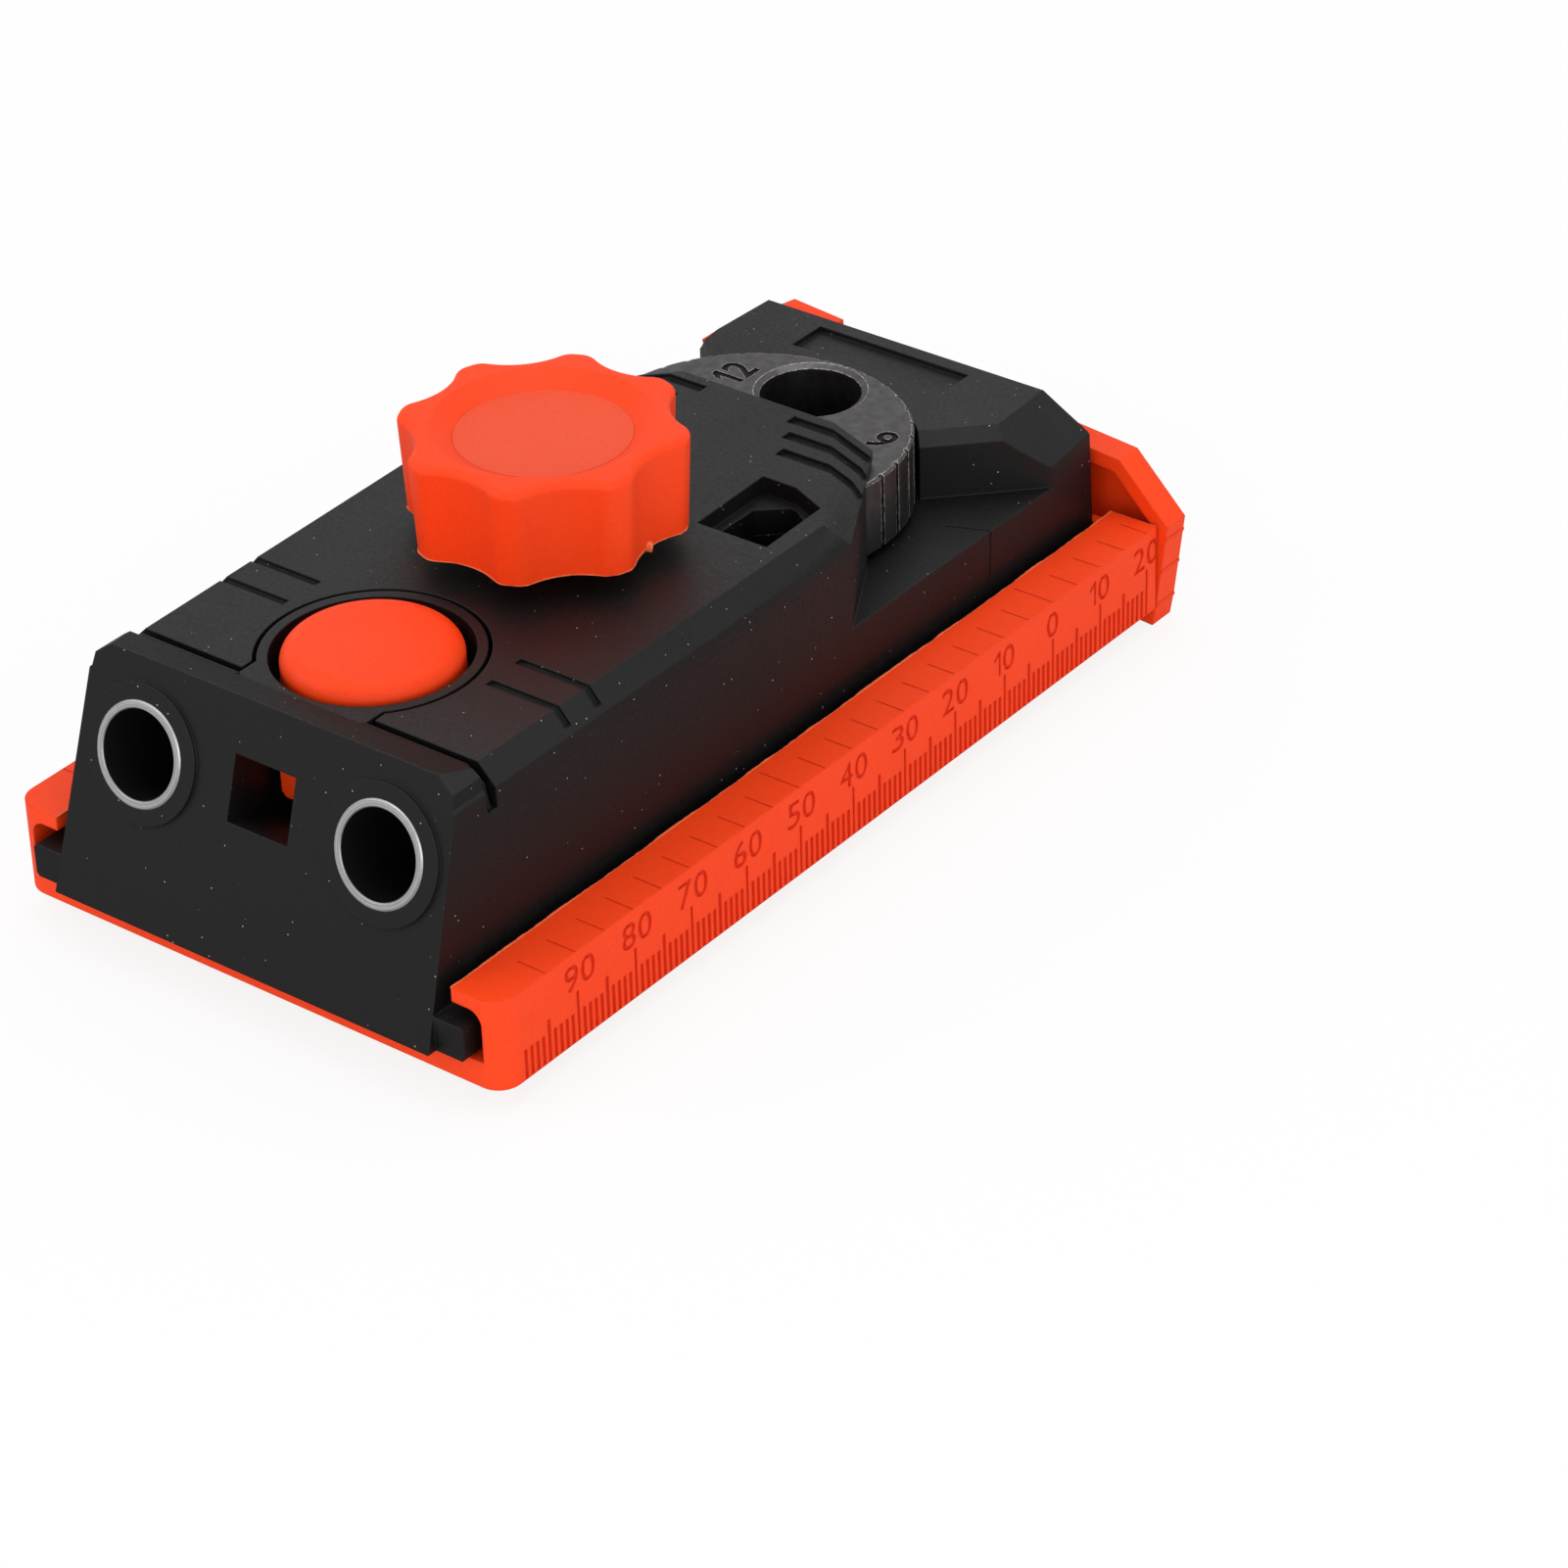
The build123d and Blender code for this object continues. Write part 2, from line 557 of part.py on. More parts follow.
def bit_turret():
    """Fluted steel disc with three guide bores and a counterbored pivot hole."""
    disc = post(0, TURRET_Y, TURRET_R, TURRET_BOTTOM, TURRET_TOP)
    disc = chamfer(disc.edges(), 0.3)
    pitch = -TURRET_Y
    for k, r in enumerate(TURRET_BORES):
        angle = radians(90 - 120 * k)
        x, y = pitch * cos(angle), TURRET_Y + pitch * sin(angle)
        disc -= post(x, y, r, TURRET_BOTTOM - 1, TURRET_TOP + 1)
        disc -= Pos(x, y, TURRET_TOP - MOUTH_DEPTH / 2) * Cone(r, r + MOUTH_WIDTH, MOUTH_DEPTH)
    height = TURRET_TOP - TURRET_BOTTOM
    flute = Pos(TURRET_R, 0, TURRET_BOTTOM + height / 2) * Box(2 * FLUTE_DEPTH, FLUTE_WIDTH, height + 2)
    turn = 360 / TURRET_FLUTES
    disc -= [Pos(0, TURRET_Y, 0) * Rot(0, 0, turn * k) * flute for k in range(TURRET_FLUTES)]
    disc -= post(0, TURRET_Y, PIVOT_R + 0.05, 0, 40)
    return disc - post(0, TURRET_Y, PIVOT_HEAD_R + 0.3, TURRET_TOP - 3.2, 40)


def turret_pivot():
    """Shoulder screw that the turret turns on."""
    shank = post(0, TURRET_Y, PIVOT_R, 8.5, TURRET_TOP - 3.0)
    head = post(0, TURRET_Y, PIVOT_HEAD_R, TURRET_TOP - 3.0, TURRET_TOP - 0.4)
    return shank + chamfer(head.edges().sort_by(Axis.Z)[-1], 0.4)


def turret_washer():
    """Spring washer between the deck and the turret."""
    return ring(0, TURRET_Y, 7.0, PIVOT_R, DECK, TURRET_BOTTOM - 0.1)


def detent_ball():
    """Ball held back just under the turret."""
    r = 2.0
    return Pos(0, DETENT_Y, TURRET_BOTTOM - 0.1 - r) * Sphere(r)


def detent_spring():
    """Coil spring under the ball."""
    return spring(0, DETENT_Y, 1.4, 0.25, 9.0, 16.0, 4)


def knob_outline():
    """Plan of the knob: a disc with round scallops between its lobes."""
    scallop_r = 8.6
    scallop_at = 23.3
    shape = Circle(KNOB_R)
    for k in range(KNOB_LOBES):
        angle = radians(KNOB_TURN + (k + 0.5) * 360 / KNOB_LOBES)
        shape -= Pos(scallop_at * cos(angle), scallop_at * sin(angle)) * Circle(scallop_r)
    return fillet(shape.vertices(), 2.4)


def clamp_knob():
    """Lobed hand knob with a dished top and a hub round the screw head."""
    outline = knob_outline()
    low = Pos(0, CLAMP_Y, KNOB_BOTTOM) * scale(outline, by=KNOB_DRAFT)
    body = loft([low, Pos(0, CLAMP_Y, KNOB_TOP) * outline], ruled=True)
    body = fillet(body.faces().sort_by(Axis.Z)[-1].edges(), 0.9)
    dish = Pos(0, CLAMP_Y, KNOB_TOP - 0.7) * Cone(CAP_R, 13.2, 1.7)
    body -= dish
    body -= post(0, CLAMP_Y, CAP_R, CAP_BOTTOM, 60)
    body -= ring(0, CLAMP_Y, 12.6, 8.6, 30, 44.0)
    body += ring(0, CLAMP_Y, 8.6, 5.0, KNOB_BOTTOM - 0.9, 40)
    for k in range(4):
        body += Pos(0, CLAMP_Y, 39.8) * Rot(0, 0, 90 * k + 10) * Pos(10.6, 0, 0) * Box(4.4, 1.4, 8.4)
    body -= hex_post(0, CLAMP_Y, NUT_FLATS, HEAD_BOTTOM, CAP_BOTTOM)
    return body - post(0, CLAMP_Y, CLAMP_SCREW_R, 30, 40)


def knob_cap():
    """Round inlay that closes the knob over the screw head."""
    return post(0, CLAMP_Y, CAP_R, CAP_BOTTOM, KNOB_TOP - 1.5)


def clamp_screw():
    """Hexagon-head screw with a thin journal for the clamp shoe."""
    shank = post(0, CLAMP_Y, CLAMP_SCREW_R, SHOE_TOP + 0.05, HEAD_BOTTOM)
    head = hex_post(0, CLAMP_Y, NUT_FLATS, HEAD_BOTTOM, HEAD_TOP)
    journal = post(0, CLAMP_Y, 2.5, SHOE_BOTTOM + 0.2, SHOE_TOP + 0.1)
    return shank + head + journal


def shoe_clip():
    """Ring on the journal that keeps the shoe on the screw."""
    return ring(0, CLAMP_Y, 3.9, 2.5, SHOE_BOTTOM + 0.4, SHOE_BOTTOM + 1.2)


def clamp_shoe():
    """Pressure plate that bears on the two ribs of the floor."""
    plate = box(-SHOE_HALF_X, SHOE_HALF_X, CLAMP_Y - SHOE_HALF_Y, CLAMP_Y + SHOE_HALF_Y,
                SHOE_BOTTOM, SHOE_TOP)
    plate = fillet(plate.edges().filter_by(Axis.Z), 1.5)
    plate = chamfer(plate.faces().sort_by(Axis.Z)[-1].edges(), 0.5)
    plate -= post(0, CLAMP_Y, 2.6, 0, 20)
    return plate - post(0, CLAMP_Y, 4.3, 0, SHOE_BOTTOM + 1.3)


def clamp_nut():
    """Hexagon nut held in the housing."""
    nut = hex_post(0, CLAMP_Y, NUT_FLATS, NUT_BOTTOM, NUT_TOP)
    return nut - post(0, CLAMP_Y, CLAMP_SCREW_R + 0.05, 0, 40)


def cover_screws():
    """Two screws that hold the cover from below."""
    screws = []
    for y in COVER_SCREW_Y:
        screws.append(post(0, y, 1.4, 13.0, 31.6) + post(0, y, 2.7, 12.2, 14.0))
    return Compound(children=screws)


PIECES = {
    "ruler_base": ruler_base(),
    "end_stop": end_stop(),
    "stop_screw": stop_screw(),
    "stop_washer": stop_washer(),
    "carriage_housing": carriage_housing(),
    "top_cover": top_cover(),
    "cover_screws": cover_screws(),
    "left_drill_sleeve": drill_sleeve(-1),
    "right_drill_sleeve": drill_sleeve(1),
    "release_button": release_button(),
    "button_spring": button_spring(),
    "bit_turret": bit_turret(),
    "turret_pivot": turret_pivot(),
    "turret_washer": turret_washer(),
    "detent_ball": detent_ball(),
    "detent_spring": detent_spring(),
    "clamp_knob": clamp_knob(),
    "knob_cap": knob_cap(),
    "clamp_screw": clamp_screw(),
    "shoe_clip": shoe_clip(),
    "clamp_shoe": clamp_shoe(),
    "clamp_nut": clamp_nut(),
}

os.makedirs("parts", exist_ok=True)
for name, shape in PIECES.items():
    export_step(Pos(0, 0, -TURRET_TOP) * shape, f"parts/{name}.step")
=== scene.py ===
"""Dresses the drill guide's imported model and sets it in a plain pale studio."""

import logging
import random
from dataclasses import dataclass, field
from enum import Enum
from math import atan2, cos, radians, sin, tan

import bmesh
import bpy
from mathutils import Matrix, Vector


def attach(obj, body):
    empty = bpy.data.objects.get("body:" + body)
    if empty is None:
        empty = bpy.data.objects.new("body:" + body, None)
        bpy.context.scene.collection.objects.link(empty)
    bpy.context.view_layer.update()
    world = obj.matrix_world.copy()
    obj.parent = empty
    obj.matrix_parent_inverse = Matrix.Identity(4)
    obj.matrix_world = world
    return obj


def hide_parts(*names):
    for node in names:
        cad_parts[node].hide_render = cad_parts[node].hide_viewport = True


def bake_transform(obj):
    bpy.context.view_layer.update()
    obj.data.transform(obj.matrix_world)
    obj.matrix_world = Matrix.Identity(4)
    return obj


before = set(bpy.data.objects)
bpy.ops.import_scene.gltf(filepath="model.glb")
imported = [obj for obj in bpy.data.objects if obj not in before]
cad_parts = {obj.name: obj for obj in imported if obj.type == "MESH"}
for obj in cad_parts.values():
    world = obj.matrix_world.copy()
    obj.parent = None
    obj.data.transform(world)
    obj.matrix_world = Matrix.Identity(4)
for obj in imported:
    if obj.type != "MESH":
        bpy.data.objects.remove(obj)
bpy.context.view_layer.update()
MM = 0.001

# Height of the turret's top, where the frame has its origin, above the base's underside
TURRET_TOP = 29.6

# Sockets of a colour mix node
MIX_A, MIX_B, MIX_RESULT = 6, 7, 2

# Short names of the types in the signatures
Node = bpy.types.Node
Material = bpy.types.Material
Mesh = bpy.types.Mesh
Piece = bpy.types.Object
Socket = str | int

logging.basicConfig(level=logging.INFO, format="%(message)s")
LOG = logging.getLogger("drill_guide")


class Body(Enum):
    """The moving bodies that the new pieces ride on."""

    BASE = "base"
    STOP = "stop"
    CARRIAGE = "carriage"
    BUTTON = "button"
    TURRET = "turret"
    KNOB = "knob"


class Slot(Enum):
    """Material slots of the record, which the flash and scar lines carry; nothing here reads them."""

    ORANGE = "orange_plastic"
    BLACK = "black_plastic"
    STEEL = "steel"
    SPRING = "spring_steel"


class Shader:
    """Adds and links the nodes of one material."""

    def __init__(self, name: str) -> None:
        """Start a material with a principled surface.

        Args:
            name: The material's name.
        """
        self.material = bpy.data.materials.new(name)
        self.material.use_nodes = True
        self.tree = self.material.node_tree
        self.tree.nodes.clear()
        self.surface = self.add("ShaderNodeBsdfPrincipled")
        self.output = self.add("ShaderNodeOutputMaterial")
        self.link(self.surface, "BSDF", self.output, "Surface")
        self.place = self.add("ShaderNodeTexCoord")

    def assign(self, node: Node, **values: object) -> None:
        """Set a node's inputs or properties.

        Args:
            node: The node.
            **values: Input names with underscores for spaces, or property names.
        """
        for key, value in values.items():
            label = key.replace("_", " ")
            if label in node.inputs:
                node.inputs[label].default_value = value
            else:
                setattr(node, key, value)

    def add(self, kind: str, **values: object) -> Node:
        """Add a node.

        Args:
            kind: The node's type name.
            **values: Its inputs or properties, as assign takes them.

        Returns:
            The new node.
        """
        node = self.tree.nodes.new(kind)
        self.assign(node, **values)
        return node

    def link(self, source: Node, out: Socket, target: Node, into: Socket) -> None:
        """Link an output to an input."""
        self.tree.links.new(source.outputs[out], target.inputs[into])

    def noise(self, size_mm: float, detail: float = 2.0) -> Node:
        """Add a noise texture on the object's own coordinates.

        Args:
            size_mm: The size of the noise's features.
            detail: The noise's octaves.

        Returns:
            The noise node.
        """
        node = self.add("ShaderNodeTexNoise", Scale=1.0 / (size_mm * MM), Detail=detail, Roughness=0.55)
        self.link(self.place, "Object", node, "Vector")
        return node

    def chain(self, source: Node, out: Socket, *steps: tuple) -> Node:
        """Add a chain of math nodes.

        Args:
            source: The node that the chain starts from.
            out: Its output.
            *steps: Pairs of an operation and its second value.

        Returns:
            The last node.
        """
        for operation, value in steps:
            node = self.add("ShaderNodeMath", operation=operation)
            node.inputs[1].default_value = value
            self.link(source, out, node, 0)
            source, out = node, 0
        return source

    def combine(self, operation: str, first: Node, second: Node) -> Node:
        """Add a math node that joins the first outputs of two nodes.

        Args:
            operation: The node's operation.
            first: The node of the first value.
            second: The node of the second value.

        Returns:
            The math node.
        """
        node = self.add("ShaderNodeMath", operation=operation)
        self.link(first, 0, node, 0)
        self.link(second, 0, node, 1)
        return node

    def spread(self, source: Node, out: Socket, span: tuple, onto: tuple = (0.0, 1.0)) -> Node:
        """Map one range of values onto another.

        Args:
            source: The node of the value.
            out: Its output.
            span: The ends of the range that the value has.
            onto: The ends of the range that it gets.

        Returns:
            The map range node.
        """
        node = self.add("ShaderNodeMapRange", From_Min=span[0], From_Max=span[1],
                        To_Min=onto[0], To_Max=onto[1])
        self.link(source, out, node, "Value")
        return node

    def blend(self, first: tuple, second: tuple, factor: Node) -> Node:
        """Mix two plain colours.

        Args:
            first: The colour where the factor is 0.
            second: The colour where it is 1.
            factor: The node whose first output is the factor.

        Returns:
            The mix node.
        """
        node = self.add("ShaderNodeMix", data_type="RGBA")
        node.inputs[MIX_A].default_value = (*first, 1)
        node.inputs[MIX_B].default_value = (*second, 1)
        self.link(factor, 0, node, 0)
        return node

    def overlay(self, below: Node, colour: tuple, mask: Node) -> Node:
        """Mix a plain colour over a mix node.

        Args:
            below: The mix node of the colour below.
            colour: The plain colour.
            mask: The node whose first output is the colour's share.

        Returns:
            The new mix node.
        """
        node = self.add("ShaderNodeMix", data_type="RGBA")
        node.inputs[MIX_B].default_value = (*colour, 1)
        self.link(below, MIX_RESULT, node, MIX_A)
        self.link(mask, 0, node, 0)
        return node

    def rounded(self, radius_mm: float) -> Node:
        """Add a normal that rounds sharp edges by a radius."""
        return self.add("ShaderNodeBevel", samples=4, Radius=radius_mm * MM)

    def edge_mask(self, bevel: Node, span: tuple) -> Node:
        """Add a mask that is 1 on sharp edges and 0 on flat faces.

        Args:
            bevel: The node of the rounded normal.
            span: How near the rounded normal is to the plain one at an edge and on a face.

        Returns:
            The map range node.
        """
        geometry = self.add("ShaderNodeNewGeometry")
        dot = self.add("ShaderNodeVectorMath", operation="DOT_PRODUCT")
        self.link(bevel, 0, dot, 0)
        self.link(geometry, "Normal", dot, 1)
        return self.spread(dot, "Value", span, (1.0, 0.0))

    def relief(self, height: Node, strength: float, depth_mm: float, bevel: Node) -> None:
        """Raise the surface by a texture, over rounded edges.

        Args:
            height: The texture.
            strength: The strength of the relief.
            depth_mm: Its depth.
            bevel: The node of the rounded normal.
        """
        bump = self.add("ShaderNodeBump", Strength=strength, Distance=depth_mm * MM)
        self.link(height, "Fac", bump, "Height")
        self.link(bevel, 0, bump, "Normal")
        self.link(bump, 0, self.surface, "Normal")


@dataclass(frozen=True)
class MouldedPlastic:
    """Injection-moulded plastic with a fine spark-eroded grain and, where wanted, specks of dust."""

    name: str
    colour: tuple
    drift: tuple
    roughness: float = 0.45
    grain_mm: float = 0.16
    grain_depth_mm: float = 0.012
    edge_mm: float = 0.25
    speck: float = 0.0
    specular: float = 0.5
    sheen: float = 0.05
    glow: float = 0.0
    glow_depth: tuple = (1.0, 0.12, 0.04)
    glow_mm: float = 1.2
    broad_mm: float = 22.0
    fleck_mm: float = 0.5
    fleck_share: float = 0.6
    tones: tuple = (0.35, 0.65)
    relief: float = 0.6
    dust_colour: tuple = (0.45, 0.45, 0.45)
    dust_cell_mm: float = 1.5
    dust_radius: tuple = (0.03, 0.07)
    dust_patch_mm: float = 3.0
    dust_patches: tuple = (0.43, 0.5)

    def dust(self, shader: Shader, colour: Node) -> Node:
        """Scatter pale specks over a colour.

        Args:
            shader: The material.
            colour: The mix node of the colour below.

        Returns:
            The new mix node.
        """
        dots = shader.add("ShaderNodeTexVoronoi", Scale=1.0 / (self.dust_cell_mm * MM))
        shader.link(shader.place, "Object", dots, "Vector")
        spots = shader.spread(dots, "Distance", self.dust_radius, (self.speck, 0.0))
        patches = shader.spread(shader.noise(self.dust_patch_mm), "Fac", self.dust_patches)
        return shader.overlay(colour, self.dust_colour, shader.combine("MULTIPLY", spots, patches))

    def build(self) -> Material:
        """Make the material.

        Returns:
            The new material.
        """
        shader = Shader(self.name)
        mean = shader.add("ShaderNodeMix", data_type="FLOAT")
        mean.inputs[0].default_value = self.fleck_share
        shader.link(shader.noise(self.broad_mm, 3.0), "Fac", mean, 2)
        shader.link(shader.noise(self.fleck_mm, 3.0), "Fac", mean, 3)
        colour = shader.blend(self.colour, self.drift, shader.spread(mean, 0, self.tones))
        if self.speck:
            colour = self.dust(shader, colour)
        shader.link(colour, MIX_RESULT, shader.surface, "Base Color")
        shine = (self.roughness - self.sheen, self.roughness + self.sheen)
        shader.link(shader.spread(mean, 0, self.tones, shine), 0, shader.surface, "Roughness")
        bevel = shader.rounded(self.edge_mm)
        shader.relief(shader.noise(self.grain_mm), self.relief, self.grain_depth_mm, bevel)
        shader.assign(shader.surface, Specular_IOR_Level=self.specular, Subsurface_Weight=self.glow,
                      Subsurface_Radius=self.glow_depth, Subsurface_Scale=self.glow_mm * MM)
        return shader.material


@dataclass(frozen=True)
class MachinedSteel:
    """Steel with mottled tone, fine tool marks and lighter worn edges."""

    name: str
    colour: tuple
    drift: tuple
    edge: tuple
    roughness: float = 0.35
    mottle_mm: float = 1.4
    grain_mm: float = 0.12
    grain_depth_mm: float = 0.006
    relief: float = 0.5
    edge_mm: float = 0.22
    edge_low: float = 0.90
    edge_high: float = 0.995
    tones: tuple = (0.35, 0.65)
    chip_mm: float = 0.5
    chips: tuple = (0.42, 0.58)
    chip_low: float = 0.15
    shine: tuple = (0.3, 0.7)
    shine_low: float = 0.06
    shine_high: float = 0.08

    def build(self) -> Material:
        """Make the material.

        Returns:
            The new material.
        """
        shader = Shader(self.name)
        mottle = shader.noise(self.mottle_mm, 5.0)
        colour = shader.blend(self.colour, self.drift, shader.spread(mottle, "Fac", self.tones))
        bevel = shader.rounded(self.edge_mm)
        worn = shader.edge_mask(bevel, (self.edge_low, self.edge_high))
        chips = shader.spread(shader.noise(self.chip_mm, 3.0), "Fac", self.chips, (self.chip_low, 1.0))
        colour = shader.overlay(colour, self.edge, shader.combine("MULTIPLY", worn, chips))
        shader.link(colour, MIX_RESULT, shader.surface, "Base Color")
        shader.relief(shader.noise(self.grain_mm, 3.0), self.relief, self.grain_depth_mm, bevel)
        shine = (self.roughness - self.shine_low, self.roughness + self.shine_high)
        shader.link(shader.spread(mottle, "Fac", self.shine, shine), 0, shader.surface, "Roughness")
        shader.assign(shader.surface, Metallic=1.0)
        return shader.material


@dataclass(frozen=True)
class TurnedSteel:
    """Steel turned about the slanted sleeve axes, with rings on the face and a near-black, non-metallic bore
    that is painted shade.
    """

    name: str
    colour: tuple
    drift: tuple
    # Near black inside the bore: painted shade, not the steel's own colour.
    bore_colour: tuple = (0.006, 0.006, 0.006)
    axis_x: float = 17.5
    mouth: tuple = (-99.9, 22.9)
    lean: float = 17.0
    bore_r: float = 5.24
    rim_r: float = 5.27
    metallic: float = 0.9
    ring_mm: float = 0.3
    ring_tones: tuple = (0.42, 0.58)
    ring_depth_mm: float = 0.01
    relief: float = 0.35
    edge_mm: float = 0.15
    scratch_mm: float = 0.4
    scratches: tuple = (0.3, 0.7)
    roughness: tuple = (0.28, 0.42)

    def radius(self, shader: Shader) -> Node:
        """Add the distance from the nearer sleeve's axis, in millimetres.

        Args:
            shader: The material.

        Returns:
            The node that gives the distance as its first output.
        """
        lean, (y, z) = radians(self.lean), self.mouth
        parts = shader.add("ShaderNodeSeparateXYZ")
        shader.link(shader.place, "Object", parts, "Vector")
        across = shader.chain(parts, "X", ("ABSOLUTE", 0.0), ("SUBTRACT", self.axis_x * MM))
        back = shader.chain(parts, "Y", ("SUBTRACT", y * MM), ("MULTIPLY", sin(lean)))
        lift = shader.chain(parts, "Z", ("SUBTRACT", (z - TURRET_TOP) * MM), ("MULTIPLY", cos(lean)))
        flat = shader.add("ShaderNodeCombineXYZ")
        shader.link(across, 0, flat, "X")
        shader.link(shader.combine("ADD", back, lift), 0, flat, "Y")
        length = shader.add("ShaderNodeVectorMath", operation="LENGTH")
        shader.link(flat, 0, length, 0)
        return shader.chain(length, "Value", ("DIVIDE", MM))

    def build(self) -> Material:
        """Make the material.

        Returns:
            The new material.
        """
        shader = Shader(self.name)
        radius = self.radius(shader)
        rings = shader.add("ShaderNodeTexNoise", noise_dimensions="1D", Scale=1.0 / self.ring_mm, Detail=3.0)
        shader.link(radius, 0, rings, "W")
        colour = shader.blend(self.drift, self.colour, shader.spread(rings, "Fac", self.ring_tones))
        # Inside bore_r the colour turns near black and the metal off: painted shade in the bore.
        rim = (self.bore_r, self.rim_r)
        colour = shader.overlay(colour, self.bore_colour, shader.spread(radius, 0, rim, (1.0, 0.0)))
        shader.link(colour, MIX_RESULT, shader.surface, "Base Color")
        metal = shader.spread(radius, 0, rim, (0.0, self.metallic))
        shader.link(metal, 0, shader.surface, "Metallic")
        shader.relief(rings, self.relief, self.ring_depth_mm, shader.rounded(self.edge_mm))
        scratches = shader.noise(self.scratch_mm, 4.0)
        rough = shader.spread(scratches, "Fac", self.scratches, self.roughness)
        shader.link(rough, 0, shader.surface, "Roughness")
        return shader.material


ORANGE = MouldedPlastic("orange_moulded", (0.93, 0.058, 0.006), (0.89, 0.048, 0.004), 0.48, edge_mm=0.3,
                        grain_depth_mm=0.02, specular=0.2, glow=0.05)
# Lighter, yellower orange for the mould flash, the stop's curl and the knob's nib: real flash ridges with a
# painted highlight as their colour.
FLASH_WITH_HIGHLIGHT = MouldedPlastic("orange_flash_painted_highlight", (0.98, 0.20, 0.07), (0.95, 0.16, 0.05), 0.4)
# Darker orange for the ruler's engraved ticks and numbers: painted shade in grooves that are the same
# plastic as the rail.
ORANGE_GROOVE_SHADE = MouldedPlastic("orange_groove_painted_shade", (0.80, 0.036, 0.004), (0.76, 0.032, 0.004), 0.5,
                               specular=0.2)
BLACK = MouldedPlastic("black_moulded", (0.0040, 0.0034, 0.0034), (0.0022, 0.0019, 0.0019), 0.5,
                       speck=0.9, specular=0.36, sheen=0.1)
BLACK_HEAD = MouldedPlastic("black_head", (0.0040, 0.0034, 0.0034), (0.0022, 0.0019, 0.0019), 0.56,
                            speck=0.9, specular=0.2)
SLEEVE = TurnedSteel("sleeve_steel", (0.72, 0.71, 0.70), (0.40, 0.39, 0.385))
BALL = MachinedSteel("ball_steel", (0.62, 0.60, 0.57), (0.55, 0.53, 0.5), (0.7, 0.7, 0.7), 0.15)
TURRET = MachinedSteel("turret_steel", (0.125, 0.121, 0.12), (0.088, 0.083, 0.083), (0.75, 0.68, 0.64),
                       0.4, mottle_mm=1.6, edge_mm=0.2, edge_low=0.975)
MARK = MouldedPlastic("mark_paint", (0.012, 0.011, 0.011), (0.008, 0.008, 0.008), 0.7, edge_mm=0.05,
                      specular=0.2)
INLAY = MouldedPlastic("orange_inlay", (0.80, 0.072, 0.018), (0.77, 0.064, 0.015), 0.5, grain_mm=0.22,
                       grain_depth_mm=0.025, edge_mm=0.1, specular=0.3)
# Lighter grey for worn edges, scratches and the gate mark, and as a painted highlight along the index line.
SCAR_AND_HIGHLIGHT = MouldedPlastic("black_scar_and_highlight", (0.085, 0.083, 0.083), (0.03, 0.03, 0.03), 0.6, specular=0.3)
WIRE = MachinedSteel("spring_wire", (0.5, 0.5, 0.5), (0.42, 0.42, 0.42), (0.7, 0.7, 0.7), 0.3)
ZINC = MachinedSteel("zinc_plate", (0.62, 0.63, 0.65), (0.52, 0.53, 0.55), (0.8, 0.8, 0.8), 0.28)


def at(x: float, y: float, z: float) -> Vector:
    """Turn a place in millimetres above the base's underside into metres in the frame."""
    return Vector((x, y, z - TURRET_TOP)) * MM


def add_piece(name: str, mesh: Mesh, *materials: Material) -> Piece:
    """Put a mesh into the scene.

    Args:
        name: The object's name.
        mesh: The mesh.
        *materials: Materials that the mesh gets.

    Returns:
        The new object.
    """
    for material in materials:
        mesh.materials.append(material)
    piece = bpy.data.objects.new(name, mesh)
    bpy.context.scene.collection.objects.link(piece)
    return piece


def discard(*pieces: Piece) -> None:
    """Remove helper objects."""
    for piece in pieces:
        bpy.data.objects.remove(piece, do_unlink=True)


def plain_mesh(piece: Piece) -> Mesh:
    """Evaluate an object.

    Args:
        piece: The object with its modifiers.

    Returns:
        The result as a new mesh.
    """
    graph = bpy.context.evaluated_depsgraph_get()
    graph.update()
    return bpy.data.meshes.new_from_object(piece.evaluated_get(graph))


def to_mesh(name: str, body: bmesh.types.BMesh) -> Mesh:
    """Turn a bmesh into a mesh and free it.

    Args:
        name: The mesh's name.
        body: The bmesh.

    Returns:
        The new mesh.
    """
    mesh = bpy.data.meshes.new(name)
    body.to_mesh(mesh)
    body.free()
    return mesh


def merge(body: bmesh.types.BMesh) -> None:
    """Merge doubled points and turn all faces outwards."""
    bmesh.ops.remove_doubles(body, verts=body.verts, dist=0.001 * MM)
    bmesh.ops.recalc_face_normals(body, faces=body.faces)


def shell(name: str, rings: list, *materials: Material, closed: bool = False) -> Piece:
    """Join rings of places into a closed body.

    Args:
        name: The piece's name.
        rings: Lists of as many places each, in metres.
        *materials: Materials that the piece gets.
        closed: Whether the last ring joins the first one, instead of a cap at either end.

    Returns:
        The new piece.
    """
    body = bmesh.new()
    rows = [[body.verts.new(place) for place in ring] for ring in rings]
    pairs = list(zip(rows, rows[1:]))
    if closed:
        pairs.append((rows[-1], rows[0]))
    else:
        body.faces.new(reversed(rows[0]))
        body.faces.new(rows[-1])
    count = len(rows[0])
    for near, far in pairs:
        for k in range(count):
            j = (k + 1) % count
            body.faces.new((near[k], near[j], far[j], far[k]))
    bmesh.ops.recalc_face_normals(body, faces=body.faces)
    return add_piece(name, to_mesh(name, body), *materials)


def prism(name: str, outline: list, half: float) -> Piece:
    """Make a prism across the part of an outline in Y and Z, in millimetres.

    Args:
        name: The prism's name.
        outline: The corners.
        half: How far it goes to either side.

    Returns:
        The prism as a closed body.
    """
    return shell(name, [[at(x, y, z) for y, z in outline] for x in (-half, half)])


